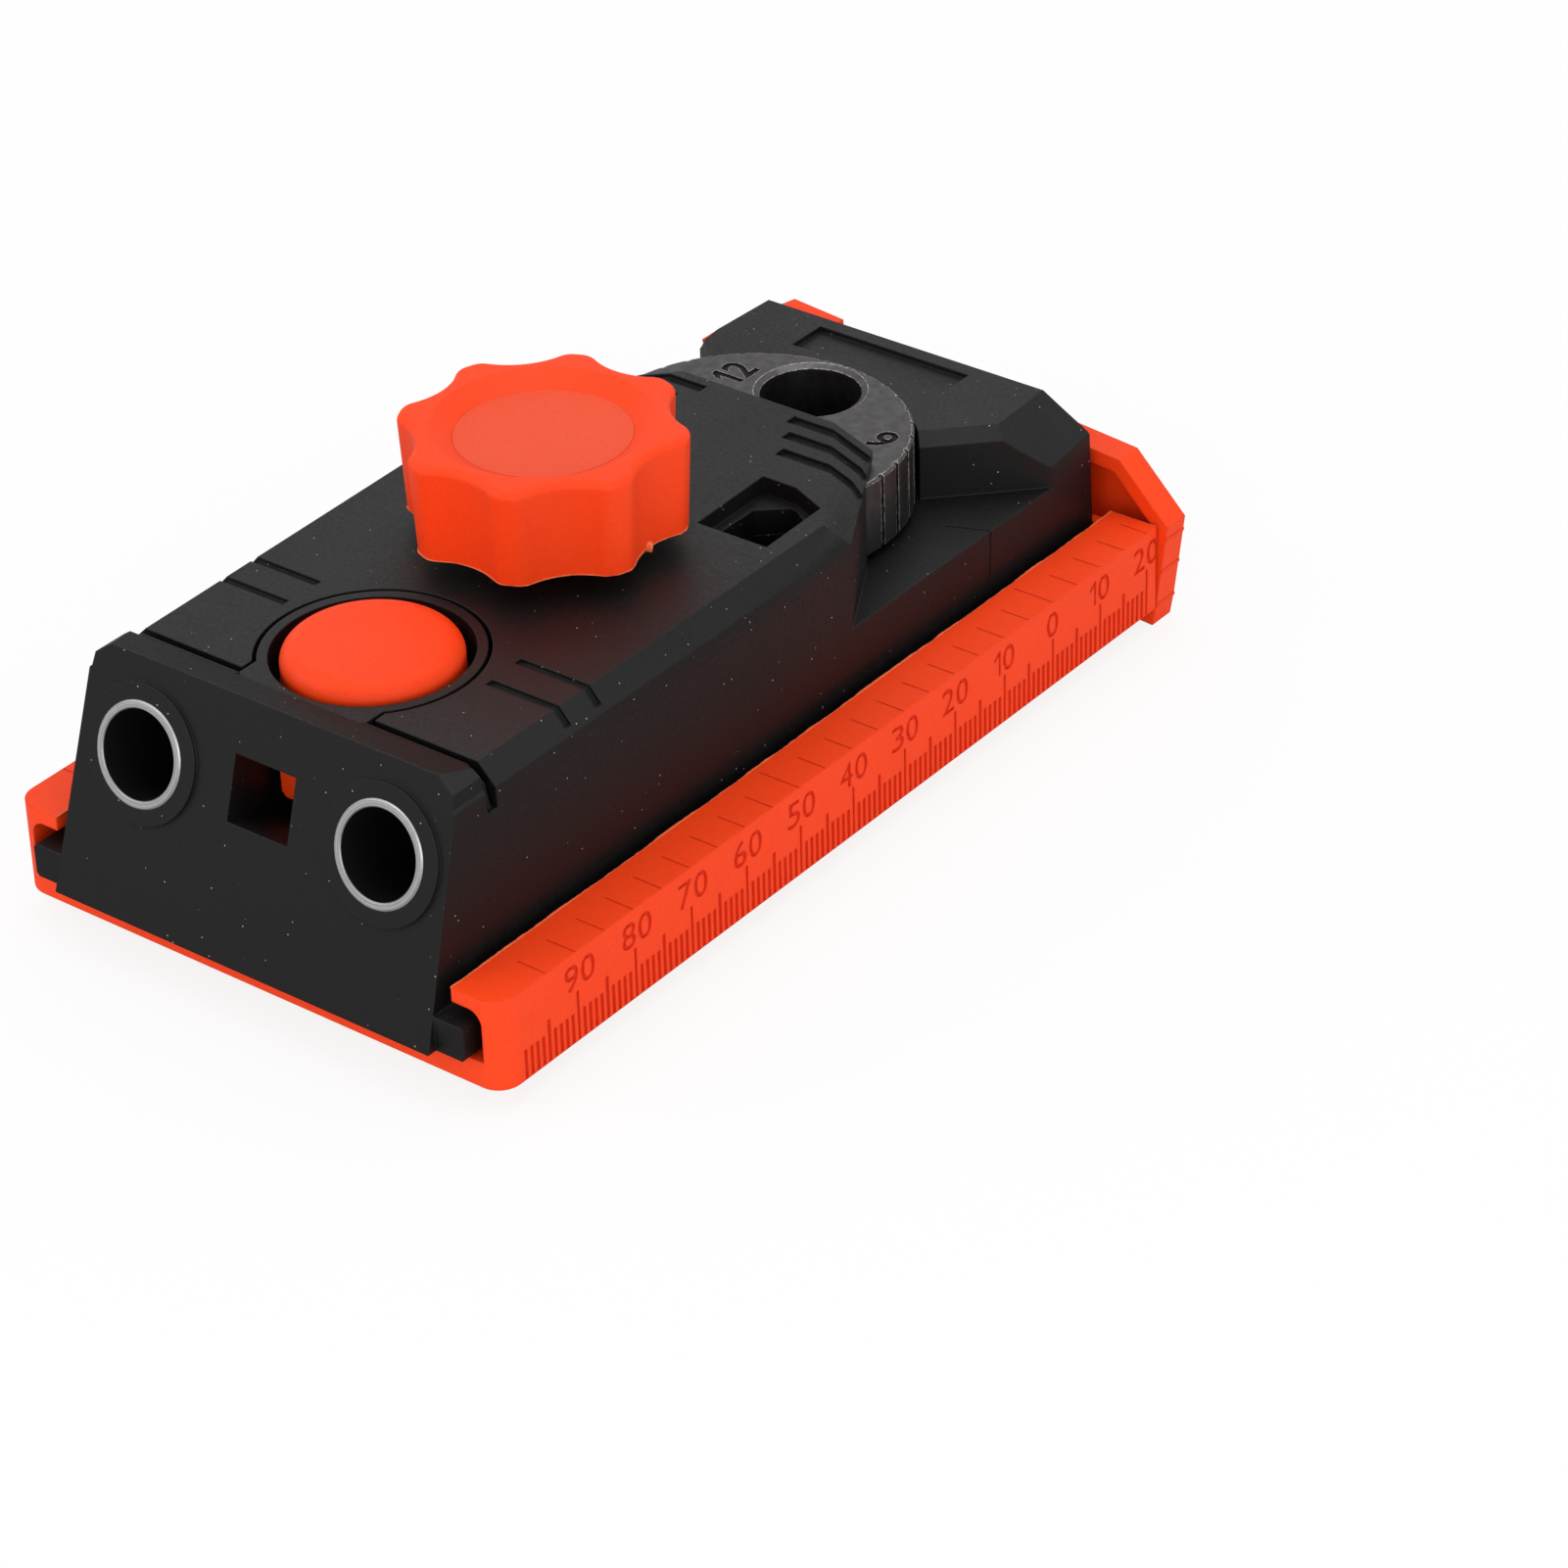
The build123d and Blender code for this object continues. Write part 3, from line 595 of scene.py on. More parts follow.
def slit(name: str, line: tuple, outward: tuple, width: float, depth: float) -> Piece:
    """Make a thin cutting body along a line on a surface.

    Args:
        name: The body's name.
        line: The ends of the line, in millimetres.
        outward: The surface's normal.
        width: The width of the cut.
        depth: How far it goes in and stands out.

    Returns:
        The closed body.
    """
    a, b = Vector(line[0]), Vector(line[1])
    along, out = (b - a).normalized(), Vector(outward).normalized()
    side = along.cross(out).normalized()
    cube = bmesh.new()
    bmesh.ops.create_cube(cube, size=1.0)
    mesh = to_mesh(name, cube)
    turn = Matrix((along, side, out)).transposed().to_4x4()
    size = Matrix.Diagonal(((b - a).length * MM, width * MM, 2 * depth * MM, 1))
    mesh.transform(Matrix.Translation(at(*((a + b) / 2))) @ turn @ size)
    return add_piece(name, mesh)


def placed(origin: Vector, across: Vector, up: Vector) -> Matrix:
    """Make the matrix that takes the X and Y plane to a place.

    Args:
        origin: The place, in metres.
        across: The direction that X gets.
        up: The direction that Y gets.

    Returns:
        The matrix.
    """
    x, y = across.normalized(), up.normalized()
    turn = Matrix((x, y, x.cross(y))).transposed().to_4x4()
    return Matrix.Translation(origin) @ turn


def crease(mesh: Mesh, degrees: float = 30.0) -> None:
    """Give each corner the area-weighted mean normal of the nearly parallel faces round it.

    Args:
        mesh: The mesh to shade.
        degrees: The angle between faces from which an edge is sharp.
    """
    limit, cell = cos(radians(degrees)), 0.002 * MM
    places = [tuple(round(c / cell) for c in vertex.co) for vertex in mesh.vertices]
    round_place = {}
    for face in mesh.polygons:
        for index in face.vertices:
            round_place.setdefault(places[index], []).append((face.normal.copy(), face.area))
    normals = []
    for face in mesh.polygons:
        for index in face.vertices:
            near = [normal * area for normal, area in round_place[places[index]]
                    if normal.dot(face.normal) > limit]
            total = sum(near, Vector())
            normals.append(total.normalized() if total.length > 0 else face.normal.copy())
    mesh.polygons.foreach_set("use_smooth", [True] * len(mesh.polygons))
    mesh.normals_split_custom_set(normals)


def enlarged(name: str, body: bmesh.types.BMesh, index: int, *materials: Material) -> Piece:
    """Make an object in millimetres of a bmesh in metres.

    Args:
        name: The object's name.
        body: The bmesh.
        index: Which of the materials all faces get.
        *materials: The materials.

    Returns:
        The new object.
    """
    body.transform(Matrix.Scale(1 / MM, 4))
    for face in body.faces:
        face.material_index = index
    return add_piece(name, to_mesh(name, body), *materials)


def engrave(node: str, name: str, cutters: list, surface: Material, groove: Material,
            splits: tuple = ()) -> Piece:
    """Cut bodies out of a copy of a CAD node.

    The cut is made on meshes in millimetres, where the solver's tolerance is small.

    Args:
        node: The CAD node.
        name: The new piece's name.
        cutters: The closed bodies to cut away, which are removed afterwards.
        surface: The material of the outside.
        groove: The material of the cut faces.
        splits: Places along Y, in millimetres, where long faces are split first.

    Returns:
        The new piece.
    """
    body = bmesh.new()
    body.from_mesh(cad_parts[node].data)
    merge(body)
    for y in splits:
        geometry = body.verts[:] + body.edges[:] + body.faces[:]
        bmesh.ops.bisect_plane(body, geom=geometry, plane_co=(0, y * MM, 0), plane_no=(0, 1, 0))
    tool = bmesh.new()
    for cutter in cutters:
        tool.from_mesh(cutter.data)
    merge(tool)
    piece = enlarged(name, body, 0, surface, groove)
    knife = enlarged(name + "_knife", tool, 1, surface, groove)
    modifier = piece.modifiers.new("cut", "BOOLEAN")
    modifier.operation, modifier.solver, modifier.object = "DIFFERENCE", "EXACT", knife
    result = plain_mesh(piece)
    piece.modifiers.remove(modifier)
    if not result.polygons:
        raise RuntimeError(f"{name}: the cut left nothing")
    result.transform(Matrix.Scale(MM, 4))
    crease(result)
    piece.data = result
    discard(knife, *cutters)
    LOG.info("%s: %d faces", name, len(result.polygons))
    return piece


class GeometryTree:
    """Adds and links the nodes of one geometry tree."""

    def __init__(self, name: str, inputs: dict) -> None:
        """Start a tree with named inputs.

        Args:
            name: The tree's name.
            inputs: The socket type of each input by its name.
        """
        self.tree = bpy.data.node_groups.new(name, "GeometryNodeTree")
        self.sockets = {
            label: self.tree.interface.new_socket(label, in_out="INPUT", socket_type=kind).identifier
            for label, kind in inputs.items()
        }
        self.tree.interface.new_socket("Geometry", in_out="OUTPUT", socket_type="NodeSocketGeometry")
        self.source = self.tree.nodes.new("NodeGroupInput")
        self.result = self.tree.nodes.new("NodeGroupOutput")

    def add(self, kind: str, **values: object) -> Node:
        """Add a node.

        Args:
            kind: The node's type name.
            **values: Its properties.

        Returns:
            The new node.
        """
        node = self.tree.nodes.new(kind)
        for key, value in values.items():
            setattr(node, key, value)
        return node

    def link(self, source: Node, out: Socket, target: Node, into: Socket) -> None:
        """Link an output to an input."""
        self.tree.links.new(source.outputs[out], target.inputs[into])

    def vector(self, **parts: tuple) -> Node:
        """Add a vector of linked parts.

        Args:
            **parts: A node with its output for each of the axes X, Y and Z that isn't zero.

        Returns:
            The vector node.
        """
        node = self.add("ShaderNodeCombineXYZ")
        for axis, (source, out) in parts.items():
            self.link(source, out, node, axis)
        return node

    def math(self, operation: str, first: tuple, second: tuple | float) -> Node:
        """Add a math node.

        Args:
            operation: The node's operation.
            first: A node with its output.
            second: A node with its output, or a number.

        Returns:
            The math node.
        """
        node = self.add("ShaderNodeMath", operation=operation)
        self.link(first[0], first[1], node, 0)
        if isinstance(second, tuple):
            self.link(second[0], second[1], node, 1)
        else:
            node.inputs[1].default_value = second
        return node

    def make(self, name: str, values: dict) -> Piece:
        """Run the tree on an empty mesh.

        Args:
            name: The name of the object that is made.
            values: The value of each input by its name.

        Returns:
            An object that holds the plain mesh.
        """
        holder = add_piece(name + "_source", bpy.data.meshes.new(name + "_source"))
        modifier = holder.modifiers.new("build", "NODES")
        modifier.node_group = self.tree
        for label, value in values.items():
            modifier[self.sockets[label]] = value
        mesh = plain_mesh(holder)
        holder.modifiers.remove(modifier)
        discard(holder)
        return add_piece(name, mesh)


@dataclass
class TickRow:
    """A row of engraving bars, one each step, longer at fives and tens.

    The bars stand along Z from their foot, lie along Y and cut along X.
    """

    step: float = 1.0
    one: float = 3.75
    five: float = 5.4
    ten: float = 6.35
    one_width: float = 0.5
    ten_width: float = 0.36
    depth: float = 0.3

    def tree(self) -> GeometryTree:
        """Make the node tree that repeats the bars.

        Returns:
            The tree.
        """
        number, whole = "NodeSocketFloat", "NodeSocketInt"
        tree = GeometryTree("tick_row", {
            "Count": whole, "First": whole, "Step": number, "One": number, "Five": number,
            "Ten": number, "One Width": number, "Ten Width": number, "Depth": number,
            "Material": "NodeSocketMaterial",
        })
        source = tree.source
        line = tree.add("GeometryNodeMeshLine", mode="OFFSET")
        first = tree.math("MULTIPLY", (source, "First"), (source, "Step"))
        tree.link(source, "Count", line, "Count")
        tree.link(tree.vector(Y=(first, 0)), 0, line, "Start Location")
        tree.link(tree.vector(Y=(source, "Step")), 0, line, "Offset")
        mark = tree.math("ADD", (tree.add("GeometryNodeInputIndex"), 0), (source, "First"))
        size = tree.vector(X=(tree.math("MULTIPLY", (source, "Depth"), 2.0), 0),
                           Y=(self.choose(tree, mark, ("One Width", "One Width", "Ten Width")), 0),
                           Z=(self.choose(tree, mark, ("One", "Five", "Ten")), 0))
        bar = tree.add("GeometryNodeMeshCube")
        bar.inputs["Size"].default_value = (1, 1, 1)
        stand = tree.add("GeometryNodeTransform")
        stand.inputs["Translation"].default_value = (0, 0, 0.5)
        tree.link(bar, "Mesh", stand, "Geometry")
        copies = tree.add("GeometryNodeInstanceOnPoints")
        tree.link(line, "Mesh", copies, "Points")
        tree.link(stand, "Geometry", copies, "Instance")
        tree.link(size, 0, copies, "Scale")
        real = tree.add("GeometryNodeRealizeInstances")
        tree.link(copies, "Instances", real, "Geometry")
        paint = tree.add("GeometryNodeSetMaterial")
        tree.link(real, "Geometry", paint, "Geometry")
        tree.link(source, "Material", paint, "Material")
        tree.link(paint, "Geometry", tree.result, "Geometry")
        return tree

    def choose(self, tree: GeometryTree, mark: Node, labels: tuple) -> Node:
        """Pick one of three inputs by whether the mark is a one, a five or a ten.

        Args:
            tree: The tree.
            mark: The node of the mark's number.
            labels: The names of the three inputs.

        Returns:
            The node that gives the picked value.
        """
        parts = [(tree.source, label) for label in labels]
        for index, every in ((1, 5.0), (2, 10.0)):
            rest = tree.math("FLOORED_MODULO", (mark, 0), every)
            hit = tree.math("LESS_THAN", (rest, 0), 0.5)
            gain = tree.math("SUBTRACT", parts[index], parts[0])
            share = tree.math("MULTIPLY", (gain, 0), (hit, 0))
            parts[0] = (tree.math("ADD", (share, 0), parts[0]), 0)
        return parts[0][0]

    def bars(self, name: str, first: int, last: int, material: Material) -> Piece:
        """Make the bars from one mark to another.

        Args:
            name: The object's name.
            first: The first mark's number.
            last: The last mark's number.
            material: The bars' material.

        Returns:
            The object with all bars, in metres.
        """
        values = {
            "Count": last - first + 1, "First": first, "Step": self.step * MM, "One": self.one * MM,
            "Five": self.five * MM, "Ten": self.ten * MM, "One Width": self.one_width * MM,
            "Ten Width": self.ten_width * MM, "Depth": self.depth * MM, "Material": material,
        }
        return self.tree().make(name, values)


@dataclass
class Figures:
    """Plain numbers as engraving bodies, drawn in the X and Y plane."""

    height: float = 3.3
    digit_width: float = 2.3
    one_width: float = 1.25
    gap: float = 0.5
    depth: float = 0.3
    thicken: float = 0.0
    stroke: float = 0.36
    flag: float = 0.24
    flag_end: float = 1.3
    flag_join: float = 1.6

    def cutters(self, text: str, place: Matrix) -> list:
        """Make one number and put it in its place.

        Args:
            text: The digits.
            place: The matrix from the number's plane to the frame.

        Returns:
            The digits as closed bodies.
        """
        widths = [self.one_width if digit == "1" else self.digit_width for digit in text]
        left = -(sum(widths) + self.gap * (len(text) - 1)) / 2
        bodies = []
        for digit, width in zip(text, widths):
            shift = Matrix.Translation(((left + width / 2) * MM, 0, 0))
            bodies.append(self.digit(digit, width, place @ shift))
            left += width + self.gap
        return bodies

    def digit(self, digit: str, width: float, place: Matrix) -> Piece:
        """Make one digit and put its middle in its place.

        Args:
            digit: The digit.
            width: Its width.
            place: The matrix from its plane to the frame.

        Returns:
            The digit as a closed body.
        """
        if digit == "1":
            return self.one(width, place)
        curve = bpy.data.curves.new("figure_" + digit, "FONT")
        curve.body = digit
        curve.extrude = self.depth * MM
        curve.offset = self.thicken
        curve.resolution_u = 5
        curve.size = 1.0
        draft = bpy.data.objects.new("figure_draft", curve)
        bpy.context.scene.collection.objects.link(draft)
        mesh = plain_mesh(draft)
        discard(draft)
        xs = [v.co.x for v in mesh.vertices]
        ys = [v.co.y for v in mesh.vertices]
        scale_x = width * MM / (max(xs) - min(xs))
        scale_y = self.height * MM / (max(ys) - min(ys))
        middle = Matrix.Translation((-(max(xs) + min(xs)) / 2, -(max(ys) + min(ys)) / 2, 0))
        mesh.transform(place @ Matrix.Diagonal((scale_x, scale_y, 1, 1)) @ middle)
        return add_piece("figure_" + digit, mesh)

    def one(self, width: float, place: Matrix) -> Piece:
        """Make the digit 1, a stem with a short flag.

        Args:
            width: Its width.
            place: The matrix from its plane to the frame.

        Returns:
            The digit as a closed body.
        """
        right, top, stroke = width / 2, self.height / 2, self.stroke
        tip = top - self.flag * self.height
        outline = [(right - stroke, -top), (right, -top), (right, top), (right - stroke, top),
                   (-right, tip), (-right, tip - self.flag_end * stroke),
                   (right - stroke, top - self.flag_join * stroke)]
        rings = [[Vector((x, y, z)) * MM for x, y in outline] for z in (-self.depth, self.depth)]
        body = shell("figure_1", rings)
        body.data.transform(place)
        return body


@dataclass
class RulerMarks:
    """Ticks and numbers moulded into both rails of the base, with a darker orange in their cut faces as
    painted shade.
    """

    side: float = 35.65
    top: float = 11.85
    first: int = -99
    first_figure: int = -90
    last: int = 20
    decade: int = 10
    foot: float = 0.4
    figure_middle: float = 8.82
    near_shift: float = 0.5
    far_shift: float = -0.25
    line_end: float = 35.5
    line_step: int = 5
    split_shift: float = 5.5
    ticks: TickRow = field(default_factory=TickRow)
    lines: TickRow = field(default_factory=lambda: TickRow(
        step=5.0, one=3.9, five=3.9, ten=5.6, one_width=0.16, ten_width=0.16, depth=0.09))
    figures: Figures = field(default_factory=Figures)

    def build(self, surface: Material, groove: Material) -> None:
        """Cut the marks into a copy of the base.

        Args:
            surface: The material of the outside.
            groove: The material of the cut faces, a darker orange that paints shade into the marks.
        """
        cutters = self.rail(1, groove) + self.rail(-1, groove)
        between = range(self.first_figure - self.decade, self.last - self.line_step, self.decade)
        splits = tuple(y + self.split_shift for y in between)
        piece = engrave("ruler_base", "ruler_base_marked", cutters, surface, groove, splits)
        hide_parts("ruler_base")
        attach(piece, Body.BASE.value)

    def rail(self, hand: int, groove: Material) -> list:
        """Make the marks of one rail.

        Args:
            hand: 1 for the right rail and -1 for the left one.
            groove: The material of the cut faces, a darker orange that paints shade into the marks.

        Returns:
            The cutting bodies.
        """
        ticks = self.ticks.bars("ticks", self.first, self.last, groove)
        ticks.data.transform(Matrix.Translation(at(hand * self.side, 0, self.foot)))
        ends = [int(mark / self.line_step) for mark in (self.first, self.last)]
        lines = self.lines.bars("lines", *ends, groove)
        lie = placed(at(hand * self.line_end, 0, self.top), Vector((0, 0, hand)), Vector((0, 1, 0)))
        lines.data.transform(lie)
        bodies = [ticks, lines]
        for mark in range(self.first_figure, self.last + 1, self.decade):
            place = at(hand * self.side, mark + self.shift(mark), self.figure_middle)
            where = placed(place, Vector((0, hand, 0)), Vector((0, 0, 1)))
            bodies += self.figures.cutters(str(abs(mark)), where)
        return bodies

    def shift(self, mark: int) -> float:
        """How far a number stands behind its tick, which changes a little along the rail."""
        share = (mark - self.first_figure) / (self.last - self.first_figure)
        return self.near_shift + share * (self.far_shift - self.near_shift)


@dataclass
class CarriageTrim:
    """The face plate's sloping head, the seam behind it and the index line of the ruler."""

    lean: float = 12.0
    head_y: float = -96.66
    head_z: float = 33.5
    plate_rear: float = -92.0
    cad_rear: float = -92.6
    seam_rear: float = -90.9
    seam_front: float = -93.0
    seam_foot: float = 20.0
    shoulder: tuple = ((26.55, 28.0), (25.9, 31.9), (23.6, 33.5))
    collar_half: float = 9.2
    sunk: float = 0.2
    joined: float = 0.02
    wedge_past: float = 0.4
    clear: float = 40.0
    index: tuple = ((21.7, -2.64, 19.0), (26.77, -0.58, 19.0))
    index_side: tuple = ((27.0, -0.55, 19.3), (27.35, -1.2, 11.0))
    index_width: float = 0.3
    index_depth: float = 0.16
    index_side_depth: float = 0.12
    side_outward: tuple = (1, 0, 0.04)

    def slope_z(self, y: float) -> float:
        """Height of the plate's head at a place behind its front edge."""
        return self.head_z - (y - self.head_y) * tan(radians(self.lean))

    def build(self, surface: Material, head: Material) -> None:
        """Make the trimmed housing, the head's rear edge and the trimmed cover.

        Args:
            surface: The material of the outside.
            head: The duller material of the sloping head and the index line.
        """
        past = self.cad_rear + self.wedge_past
        wedge = prism("head_wedge", [(self.head_y, self.head_z), (past, self.slope_z(past)),
                                     (past, self.clear), (self.head_y, self.clear)], self.clear)
        line = slit("index", self.index, (0, 0, 1), self.index_width, self.index_depth)
        side_line = slit("index_side", self.index_side, self.side_outward, self.index_width,
                         self.index_side_depth)
        housing = engrave("carriage_housing", "carriage_housing_marked", [wedge, line, side_line],
                          surface, head)
        self.settle(housing, "carriage_housing")
        front = prism("cover_front", [
            (self.seam_front, self.seam_foot), (self.seam_rear, self.seam_foot),
            (self.seam_rear, self.clear), (self.seam_front, self.clear)], self.clear)
        cover = engrave("top_cover", "top_cover_trimmed", [front], surface, surface)
        self.settle(cover, "top_cover")
        for hand, side in ((1, "right"), (-1, "left")):
            self.settle(self.head_rear(hand, side, head), None)

    def settle(self, piece: Piece, node: str | None) -> None:
        """Hide the CAD node that a piece replaces, if any, and let the piece ride on the carriage.

        Args:
            piece: The piece.
            node: The CAD node that it replaces, if any.
        """
        if node:
            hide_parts(node)
        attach(piece, Body.CARRIAGE.value)

    def head_rear(self, hand: int, side: str, surface: Material) -> Piece:
        """Make the rear strip of the plate's head beside the collar.

        Args:
            hand: 1 for the right side and -1 for the left one.
            side: The side's name.
            surface: The strip's material.

        Returns:
            The new piece.
        """
        foot, *top = self.shoulder
        inner = self.collar_half - self.sunk
        rings = []
        for y in (self.cad_rear - self.joined, self.plate_rear):
            drop = self.head_z - self.slope_z(y)
            outline = [(inner, foot[1]), foot] + [(x, z - drop) for x, z in (*top, (inner, self.head_z))]
            rings.append([at(hand * x, y, z) for x, z in outline])
        LOG.info("%s_head_rear", side)
        return shell(side + "_head_rear", rings, surface)


@dataclass
class TurretMarks:
    """Numbers on the turret, one beside each bore, filled with dark paint."""

    numbers: tuple = (
        ("12", (-10.25, -1.73), 90.0), ("9", (14.5, -5.2), -14.0), ("6", (-4.6, -26.2), 196.0),
    )
    figures: Figures = field(default_factory=lambda: Figures(
        height=4.4, digit_width=2.7, one_width=1.45, depth=0.25, thicken=0.02, stroke=0.72))

    def build(self, surface: Material, paint: Material) -> None:
        """Cut the numbers into a copy of the turret.

        Args:
            surface: The material of the outside.
            paint: The material in the numbers.
        """
        cutters = []
        for text, (x, y), turn in self.numbers:
            angle = radians(turn)
            across = Vector((cos(angle), sin(angle), 0))
            up = Vector((-sin(angle), cos(angle), 0))
            cutters += self.figures.cutters(text, placed(at(x, y, TURRET_TOP), across, up))
        piece = engrave("bit_turret", "bit_turret_marked", cutters, surface, paint)
        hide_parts("bit_turret")
        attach(piece, Body.TURRET.value)


@dataclass
class PressedSpring:
    """The button's coil spring, which shortens when the button goes down; here a plain copy of the CAD coil.
    """

    axis: tuple = (0.0, -80.2)
    foot: float = 10.8
    head: float = 31.4

    def build(self, wire: Material) -> None:
        """Make a copy of the coil in the wire material, with its transform baked, in place of the CAD node.

        Args:
            wire: The coil's material.
        """
        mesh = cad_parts["button_spring"].data.copy()
        mesh.materials.clear()
        piece = add_piece("button_spring_coil", mesh, wire)
        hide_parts("button_spring")
        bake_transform(piece)
        LOG.info("button_spring_coil")


@dataclass
class FlashLine:
    """A thin uneven ridge along an edge, such as mould flash or wear."""

    name: str
    points: tuple
    outward: tuple
    body: Body
    slot: Slot
    height: float = 0.16
    width: float = 0.14
    step: float = 0.3
    sunk: float = 0.06
    start: float = 0.5
    least: float = 0.15
    waver: float = 0.28
    seed: int = 3
    closed: bool = False
    centre: tuple | None = None

    def stations(self) -> list:
        """Spread places along the edge.

        Returns:
            Pairs of a place in millimetres and the direction of the edge there.
        """
        points = [Vector(p) for p in self.points]
        if self.closed:
            points.append(points[0])
        found = []
        for a, b in zip(points, points[1:]):
            length = (b - a).length
            count = max(1, round(length / self.step))
            found += [(a.lerp(b, k / count), (b - a).normalized()) for k in range(count)]
        if not self.closed:
            found.append((points[-1], (points[-1] - points[-2]).normalized()))
        return found

    def direction(self, place: Vector) -> Vector:
        """Find the direction that the ridge points in.

        Around a centre, the first part of outward is the radial share.

        Args:
            place: A place on the edge, in millimetres.

        Returns:
            The direction.
        """
        if self.centre is None:
            return Vector(self.outward).normalized()
        radial = Vector((place.x - self.centre[0], place.y - self.centre[1], 0)).normalized()
        return (radial * self.outward[0] + Vector((0, 0, self.outward[2]))).normalized()

    def build(self, material: Material) -> None:
        """Make the ridge.

        Args:
            material: Its material.
        """
        chance = random.Random(self.seed)
        level, rings = self.start, []
        for place, along in self.stations():
            level = min(1.0, max(self.least, level + chance.uniform(-self.waver, self.waver)))
            out = self.direction(place)
            side = along.cross(out).normalized() * (self.width / 2)
            foot = place - out * self.sunk
            corners = (foot - side, place + out * (level * self.height), foot + side)
            rings.append([at(*corner) for corner in corners])
        piece = shell(self.name, rings, material, closed=self.closed)
        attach(piece, self.body.value)
        LOG.info("%s: %d stations", self.name, len(rings))


@dataclass
class Flashes:
    """Mould flash on the edges of the orange pieces, with the torn lump under the knob, in a lighter orange
    that is a painted highlight.
    """

    lip: float = 29.05
    rail_top: float = 11.85
    rail_foot: float = 0.9
    rail_outer: float = 35.56
    rail_front: float = -103.0
    rail_rear: float = 22.0
    knob_axis: tuple = (0.0, -49.5)
    knob_foot: float = 35.5
    knob_least: float = 13.5
    level_gap: float = 0.02
    nib: tuple = (14.15, -48.8)
    nib_size: tuple = (0.42, 0.5, 0.85)
    nib_swell: tuple = (-0.35, 0.25)
    nib_seed: int = 4
    curl: tuple = ((31.3, 25.3, 12.7), (31.1, 25.3, 12.2), (31.15, 25.3, 11.6), (31.5, 25.3, 11.1),
                   (32.0, 25.3, 10.9))

    def build(self, material: Material) -> None:
        """Make all flash.

        Args:
            material: Its material.
        """
        for hand, side in ((1, "right"), (-1, "left")):
            self.rail(hand, side).build(material)
            self.rail_end(hand, side).build(material)
        self.knob().build(material)
        self.nib_piece(material)
        FlashLine("stop_curl", self.curl, (0, -1, 0), Body.STOP, Slot.ORANGE, height=0.4,
                  width=0.22, seed=31).build(material)

    def rail(self, hand: int, side: str) -> FlashLine:
        """Lay out the flash along a rail's inner top edge.

        Args:
            hand: 1 for the right rail and -1 for the left one.
            side: The side's name.

        Returns:
            The flash line.
        """
        ends = [(hand * self.lip, y, self.rail_top) for y in (self.rail_front, self.rail_rear)]
        return FlashLine(f"{side}_rail_flash", tuple(ends), (-hand, 0, 0.8), Body.BASE, Slot.ORANGE,
                         height=0.2, width=0.2, step=0.45, seed=5 + hand)

    def rail_end(self, hand: int, side: str) -> FlashLine:
        """Lay out the flash along the edges of a rail's rear end face.

        Args:
            hand: 1 for the right rail and -1 for the left one.
            side: The side's name.

        Returns:
            The flash line.
        """
        corners = ((self.lip, self.rail_top), (self.rail_outer, self.rail_top),
                   (self.rail_outer, self.rail_foot))
        points = tuple((hand * x, self.rail_rear, z) for x, z in corners)
        return FlashLine(f"{side}_rail_end_flash", points, (0, 1, 0.2), Body.BASE, Slot.ORANGE,
                         height=0.14, width=0.14, seed=9 + hand)

    def knob(self) -> FlashLine:
        """Lay out the flash round the knob's lower edge, following its lobes.

        Returns:
            The flash line.
        """
        x0, y0 = self.knob_axis
        level = (self.knob_foot - TURRET_TOP) * MM
        found = {}
        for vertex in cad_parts["clamp_knob"].data.vertices:
            x, y = vertex.co.x / MM - x0, vertex.co.y / MM - y0
            flat = abs(vertex.co.z - level) < self.level_gap * MM
            if flat and Vector((x, y)).length > self.knob_least:
                found[round(atan2(y, x), 3)] = (x0 + x, y0 + y, self.knob_foot)
        points = tuple(found[key] for key in sorted(found))
        return FlashLine("knob_flash", points, (1, 0, -0.25), Body.KNOB, Slot.ORANGE,
                         height=0.16, width=0.16, step=0.5, seed=21, closed=True,
                         centre=self.knob_axis)

    def nib_piece(self, material: Material) -> None:
        """Make the small torn lump of flash under the knob's edge.

        Args:
            material: Its material.
        """
        chance = random.Random(self.nib_seed)
        ball = bmesh.new()
        bmesh.ops.create_icosphere(ball, subdivisions=2, radius=1.0)
        x, y = self.nib
        for vertex in ball.verts:
            swell = 1.0 + chance.uniform(*self.nib_swell)
            lump = vertex.co * Vector(self.nib_size) * swell
            vertex.co = at(x + lump.x, y + lump.y, self.knob_foot + lump.z)
        piece = add_piece("knob_nib", to_mesh("knob_nib", ball), material)
        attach(piece, Body.KNOB.value)
        LOG.info("knob_nib")


